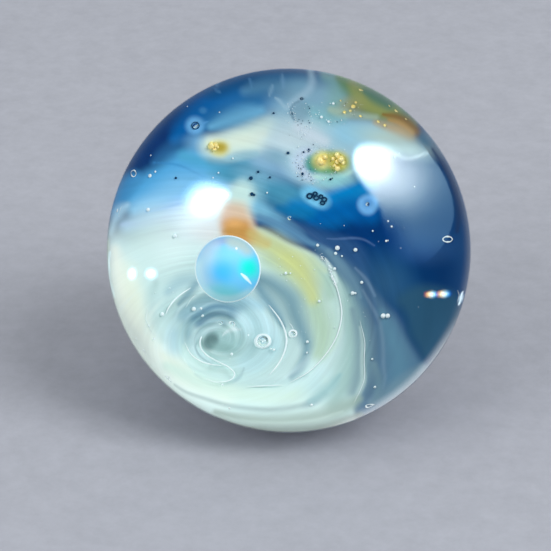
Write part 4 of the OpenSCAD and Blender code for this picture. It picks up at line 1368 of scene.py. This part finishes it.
# %% Bubbles by seen place, height and radius
BUBBLES = [
    (-10.35, 13.8, 2.6, 0.26), (8.7, 5.15, 0.6, 0.16), (-2.8, -10, -3.2, 0.4), (0.5, -9.2, -2.4, 0.2),
    (-7.5, -8, -3.4, 0.16), (-6.2, -8.1, -3.4, 0.15), (0.1, 3.6, -2.4, 0.16), (11.8, 10.4, 1.4, 0.14),
    (-7.4, 6, -1, 0.2),
]
CLEAR_TINT = (252, 254, 255)
BALL_GRID, BUBBLE_GRID = (150, 300), (14, 20)
clear_glass, tree, output = empty_material("clear_ball_glass")
glass = node(tree, "BsdfPrincipled", {
    "Base Color": linear(CLEAR_TINT), "Transmission Weight": 1.0, "Roughness": 0.0, "IOR": GLASS_IOR
})
path = node(tree, "LightPath")
through = node(tree, "BsdfTransparent").outputs[0]
shown = glass
for light in ("Is Shadow Ray", "Is Diffuse Ray"):
    shown = node(tree, "MixShader", {0: path.outputs[light], 1: shown.outputs[0], 2: through})
tree.links.new(shown.outputs[0], output.inputs["Surface"])

holes = np.array(BUBBLES)
hole_places = at_height(holes[:, 0], holes[:, 1], holes[:, 2])
hollow = [skin(sphere_rings(p, r, *BUBBLE_GRID)) for p, r in zip(hole_places, holes[:, 3])]
hollow = [(points, triangles[:, ::-1]) for points, triangles in hollow]
ball = skin(sphere_rings((0, 0, 0), BALL_R, *BALL_GRID))
piece("clear_ball", together([ball] + hollow), clear_glass, ("clear_glass",))

# %% [markdown]
# ## Floor, light and camera
#
# The marble rests on a plain pale floor. Two soft lights and a pale sky light
# it evenly, so the glass shows its own colour.

# %% The floor
FLOOR_COLOUR = (170, 173, 182)
floor_paint, tree, output = empty_material("floor_paint")
place = node(tree, "TexCoord").outputs["Object"]
speckle = node(tree, "TexNoise", {"Vector": place, "Scale": 420.0, "Detail": 6.0, "Roughness": 0.7})
tone = node(tree, "MapRange", {
    "Value": speckle.outputs["Fac"], "From Min": 0.3, "From Max": 0.7, "To Min": 0.94, "To Max": 1.06
})
paint = shaded(tree, linear(FLOOR_COLOUR), tone.outputs[0])
surfaced(tree, output, {"Base Color": paint, "Roughness": 0.7, "Specular IOR Level": 0.0})


def stage_mesh(name, points, faces, material):
    """Something of the room: a mesh in metres that isn't part of the marble."""
    mesh = bpy.data.meshes.new(name)
    mesh.from_pydata(np.asarray(points).tolist(), [], faces)
    mesh.materials.append(material)
    made = bpy.data.objects.new(name, mesh)
    bpy.context.collection.objects.link(made)
    return made


FLOOR_R, FLOOR_SIDES, FLOOR_GAP = 3.0, 96, 0.00002
turn = np.arange(FLOOR_SIDES) / FLOOR_SIDES * 2 * np.pi
floor_z = np.full(FLOOR_SIDES, ball_low.z - FLOOR_GAP)
disc = np.column_stack([FLOOR_R * np.cos(turn), FLOOR_R * np.sin(turn), floor_z])
stage_mesh("floor", disc, [list(range(FLOOR_SIDES))], floor_paint)

# %% [markdown]
# ## A tent for the reflections
#
# A polished ball mirrors the whole room at once. To show such a ball well, a
# dark cloth is hung round it, so that the colours inside stay deep, and it has
# openings for the lamps. The tent here does the same: it is a skin round the
# front of the ball that only reflections see. Each of its points is put where
# the ball mirrors it, so the lamps can be drawn on it as they are seen on the
# glass.

# %% Where the ball mirrors the tent
TENT_FAR = 100.0
TENT_EDGE = 0.995
TENT_ROWS, TENT_COLUMNS = 124, 480
VERTICAL = np.array([0.0, UP[2], OUT[2]])


def mirrored_in(x, y):
    """The place on the tent that is mirrored where the ball's front is seen at
    x, y: the sight line to that point, turned back by d - 2 (d . n) n. It is
    followed for the tent's distance, or for most of the way to the floor."""
    a = np.arctan(np.hypot(x, y) / SEEN_R * np.tan(EDGE_ANGLE))
    sink = np.arcsin(np.clip(EYE_DISTANCE * np.sin(a) / BALL_R, -1, 1)) - a
    way = np.arctan2(y, x)
    normal = np.stack([np.sin(sink) * np.cos(way), np.sin(sink) * np.sin(way), np.cos(sink)], -1)
    line = BALL_R * normal - [0, 0, EYE_DISTANCE]
    line /= np.linalg.norm(line, axis=-1, keepdims=True)
    turned = line - 2 * (line * normal).sum(-1, keepdims=True) * normal
    above_floor = BALL_R * (1 + normal @ VERTICAL)
    far = np.minimum(TENT_FAR, 0.85 * above_floor / np.maximum(-turned @ VERTICAL, 1e-6))
    return BALL_R * normal + far[:, None] * turned


def mirror_share(x, y):
    """How much of the light the glass mirrors there: Fresnel's law, the mean of
    ((n cos i - cos t) / (n cos i + cos t)) squared and the same with n on the
    other cosine."""
    sine = np.minimum(np.hypot(x, y) / SEEN_R, 1)
    fall, bent = np.sqrt(1 - sine**2), np.sqrt(1 - (sine / GLASS_IOR) ** 2)
    across = (fall - GLASS_IOR * bent) / (fall + GLASS_IOR * bent)
    along = (GLASS_IOR * fall - bent) / (GLASS_IOR * fall + bent)
    return (across**2 + along**2) / 2


# %% Lamps drawn on the tent
BOX_OUTLINE = [
    (5, 12.9), (9, 13.2), (12.6, 13.4), (14.2, 12.4), (15.3, 11), (17, 8.6), (17.9, 6.4), (18.25, 4.4),
    (18.05, 2.8), (17.4, 1.2), (16.4, -0.2), (15, -1.4), (13.6, -2.4), (12, -3.1), (8, -4), (4, 4),
]
BOX_LEFT = [
    (7.2, 10.7), (7.6, 11.7), (8.4, 12.5), (10.5, 13.2), (15, 14), (22, 8), (20, -6), (12, -4),
    (10.8, -1), (10.6, 1.6), (10.4, 3.4), (10, 4.9), (8.9, 6.5), (7.7, 8.1), (7.2, 9.4),
]
LAMP, GLOW = (9, 10.3), (10.4, 8.1)
LAMP_SIZE, GLOW_WIDE, GLOW_HIGH = 2.25, 20, 11.5
FOLD = [(11.2, 11, 0.08), (13.1, 10.2, 0.14), (15.1, 10.8, 0.14), (16, 11.4, 0.05)]
SPOTS = [(-17.3, -2.6, 0.36, 0.5), (-15.2, -2.6, 0.5, 0.46)]
RIGHT_GLINT = [(19.2, -4.5, 0.06), (19.05, -5.2, 0.17), (18.85, -5.9, 0.05)]
OUTLINE_GLINT = [(-19.8, -0.2, 0.07), (-19.85, -2.8, 0.1), (-19.3, -5.2, 0.06)]


def lamp_light(x, y):
    """The light that each seen place gains. The right softbox is a lamp behind
    cloth: a hot patch, and a face that falls off as a bell curve across and a
    narrower one down, with a faint fold. The left one is a bare lamp with a
    side lobe and a soft glow. Small sparks and glints come last."""
    off_x, off_y = x - LAMP[0], y - LAMP[1]
    hot = 1.4 * np.exp(-((np.hypot(off_x, off_y) / LAMP_SIZE) ** 2.6))
    face = 0.86 * np.exp(-((x - GLOW[0]) ** 2) / GLOW_WIDE - (y - GLOW[1]) ** 2 / GLOW_HIGH)
    face += 0.12 * ramp(x, 10.5, 14) * ramp(y, -2.5, 2.5) + 0.3 * stroke(x, y, FOLD, 1)
    cloth = area(x, y, BOX_OUTLINE, 0.1) * area(x, y, BOX_LEFT, 0.5) * ramp(y, 12.6, 10.6)
    left = 1.2 * dab(x, y, (-9.15, 5.75), (1.65, 1.4), 15, 0.95)
    left += 0.9 * dab(x, y, (-7.5, 6.2), (0.8, 0.5), 0, 0.9)
    left += 0.2 * dab(x, y, (-10, 4.2), (2.4, 1.9), 20, 0.9)
    spots = sum(1.1 * dab(x, y, s[:2], s[2:], 0, 0.9) for s in SPOTS)
    glints = 0.4 * stroke(x, y, OUTLINE_GLINT, 0.9) + stroke(x, y, RIGHT_GLINT, 0.8)
    return cloth * (hot + face) + left + spots + glints


PRISMS = [(15.8, -4.8, 0.42, 0.26), (17.15, -4.75, 0.46, 0.27)]
SPREAD = [-0.16, 0.0, 0.16]


def prism_light(x, y):
    """Two sparks split into colours: each one is a soft dab for red, green and
    blue, set a little further to the right from one to the next."""
    sparks = [sum(dab(x - s, y, p[:2], p[2:], 0, 0.9) for p in PRISMS) for s in SPREAD]
    return 1.3 * np.stack(sparks, -1)


def cooled(light):
    """Strong light is white, and weak light is blue: each colour is scaled by
    light over light plus a small amount, largest for red."""
    return light[:, None] * light[:, None] / (light[:, None] + [0.26, 0.06, 0.002])


seen_r = np.linspace(0, TENT_EDGE, TENT_ROWS + 1)[1:] * SEEN_R
seen_a = np.arange(TENT_COLUMNS) / TENT_COLUMNS * 2 * np.pi
tent_x, tent_y = np.outer(seen_r, np.cos(seen_a)).ravel(), np.outer(seen_r, np.sin(seen_a)).ravel()
tent_r = np.hypot(tent_x, tent_y)
lower_left = ramp(-0.6 * tent_x - 0.8 * tent_y, 6, 13)
lower_right = ramp(0.64 * tent_x - 0.77 * tent_y, 17, 19.6)
right_side = 0.4 + 0.6 * ramp(tent_x, -6, 6)
DARK_CLOTH, BLUE_EDGE, PALE_EDGE = 0.03, [0.02, 0.07, 0.14], [0.2, 0.19, 0.17]
away = 1 - lower_left
room_light = DARK_CLOTH + np.outer(ramp(tent_r, 17, 19.4) * away, BLUE_EDGE)
room_light += np.outer(ramp(tent_r, 19.1, 20.1) * away * right_side, PALE_EDGE)
bounce = (0.09 * ramp(tent_r, 14.5, 18) + 0.03 * ramp(tent_r, 18, 19.2)) * lower_left
bounce += 0.28 * ramp(tent_r, 19, 20.1) * lower_right
share = mirror_share(tent_x, tent_y)
lamps = cooled(lamp_light(tent_x, tent_y)) + prism_light(tent_x, tent_y)
tent_light = (lamps + bounce[:, None]) / share[:, None] + room_light

tent_row = (np.arange(TENT_ROWS - 1) * TENT_COLUMNS)[:, None]
here = np.arange(TENT_COLUMNS)
after = (here + 1) % TENT_COLUMNS
next_row = tent_row + TENT_COLUMNS
cells = np.stack([tent_row + here, tent_row + after, next_row + after, next_row + here], -1)
tent_cloth, tree, output = empty_material("tent_cloth")
glow = node(tree, "Emission", {"Color": field(tree, "light").outputs["Color"], "Strength": 1.0})
tree.links.new(glow.outputs[0], output.inputs["Surface"])
tent_places = to_frame(mirrored_in(tent_x, tent_y))
tent = stage_mesh("tent", tent_places, cells.reshape(-1, 4).tolist(), tent_cloth)
light_layer = tent.data.attributes.new("light", "FLOAT_VECTOR", "POINT")
light_layer.data.foreach_set("vector", tent_light.astype("f4").ravel())
tent.visible_camera = tent.visible_diffuse = tent.visible_shadow = False
tent.visible_transmission = tent.visible_volume_scatter = False
print(f"tent: {len(tent_x)} points, brightest {tent_light.max():.0f}")

# %% The lights and the sky
def softlight(name, aim, distance, size, power):
    """A square area lamp a distance away along a direction, facing the marble."""
    lamp = bpy.data.lights.new(name, "AREA")
    lamp.energy, lamp.size = power, size
    made = bpy.data.objects.new(name, lamp)
    bpy.context.collection.objects.link(made)
    made.location = Vector(aim).normalized() * distance
    made.rotation_euler = made.location.to_track_quat("Z", "Y").to_euler()
    made.visible_glossy = False
    return made


softlight("key_light", (0.62, -0.35, 0.75), 1.0, 0.5, 5.8)
softlight("fill_light", (-0.7, -0.5, 0.55), 1.0, 0.6, 3.15)

SKY_LIGHT, SKY_SOFT, SKY_SHOWN = 0.58, (0.97, 0.985, 1.0), (0.42, 0.43, 0.48)
world = bpy.data.worlds.new("studio")
bpy.context.scene.world = world
world.use_nodes = True
tree = world.node_tree
tree.nodes.clear()
path = node(tree, "LightPath")
soft = node(tree, "Background", {"Color": (*SKY_SOFT, 1.0), "Strength": SKY_LIGHT})
shown = node(tree, "Background", {"Color": (*SKY_SHOWN, 1.0), "Strength": 1.0})
looked_at = maths(tree, "MAXIMUM", path.outputs["Is Camera Ray"], path.outputs["Is Transmission Ray"])
looked_at = maths(tree, "MAXIMUM", looked_at, path.outputs["Is Glossy Ray"])
sky = node(tree, "MixShader", {0: looked_at, 1: soft.outputs[0], 2: shown.outputs[0]})
tree.links.new(sky.outputs[0], node(tree, "OutputWorld").inputs["Surface"])

# %% The camera, on the lens axis
AIM = (-1.436, -2.741, 0.0)
FOCAL, SENSOR = 178.4, 36.0
camera_data = bpy.data.cameras.new("camera")
camera_data.lens, camera_data.sensor_width = FOCAL, SENSOR
camera_data.clip_start = 0.01
camera = bpy.data.objects.new("camera", camera_data)
bpy.context.collection.objects.link(camera)
camera.location = Vector(OUT * EYE_DISTANCE * MM)
aim = Vector(to_frame(np.array([AIM]))[0])
camera.rotation_euler = (camera.location - aim).to_track_quat("Z", "Y").to_euler()
bpy.context.scene.camera = camera
bpy.context.scene.view_settings.view_transform = "Standard"
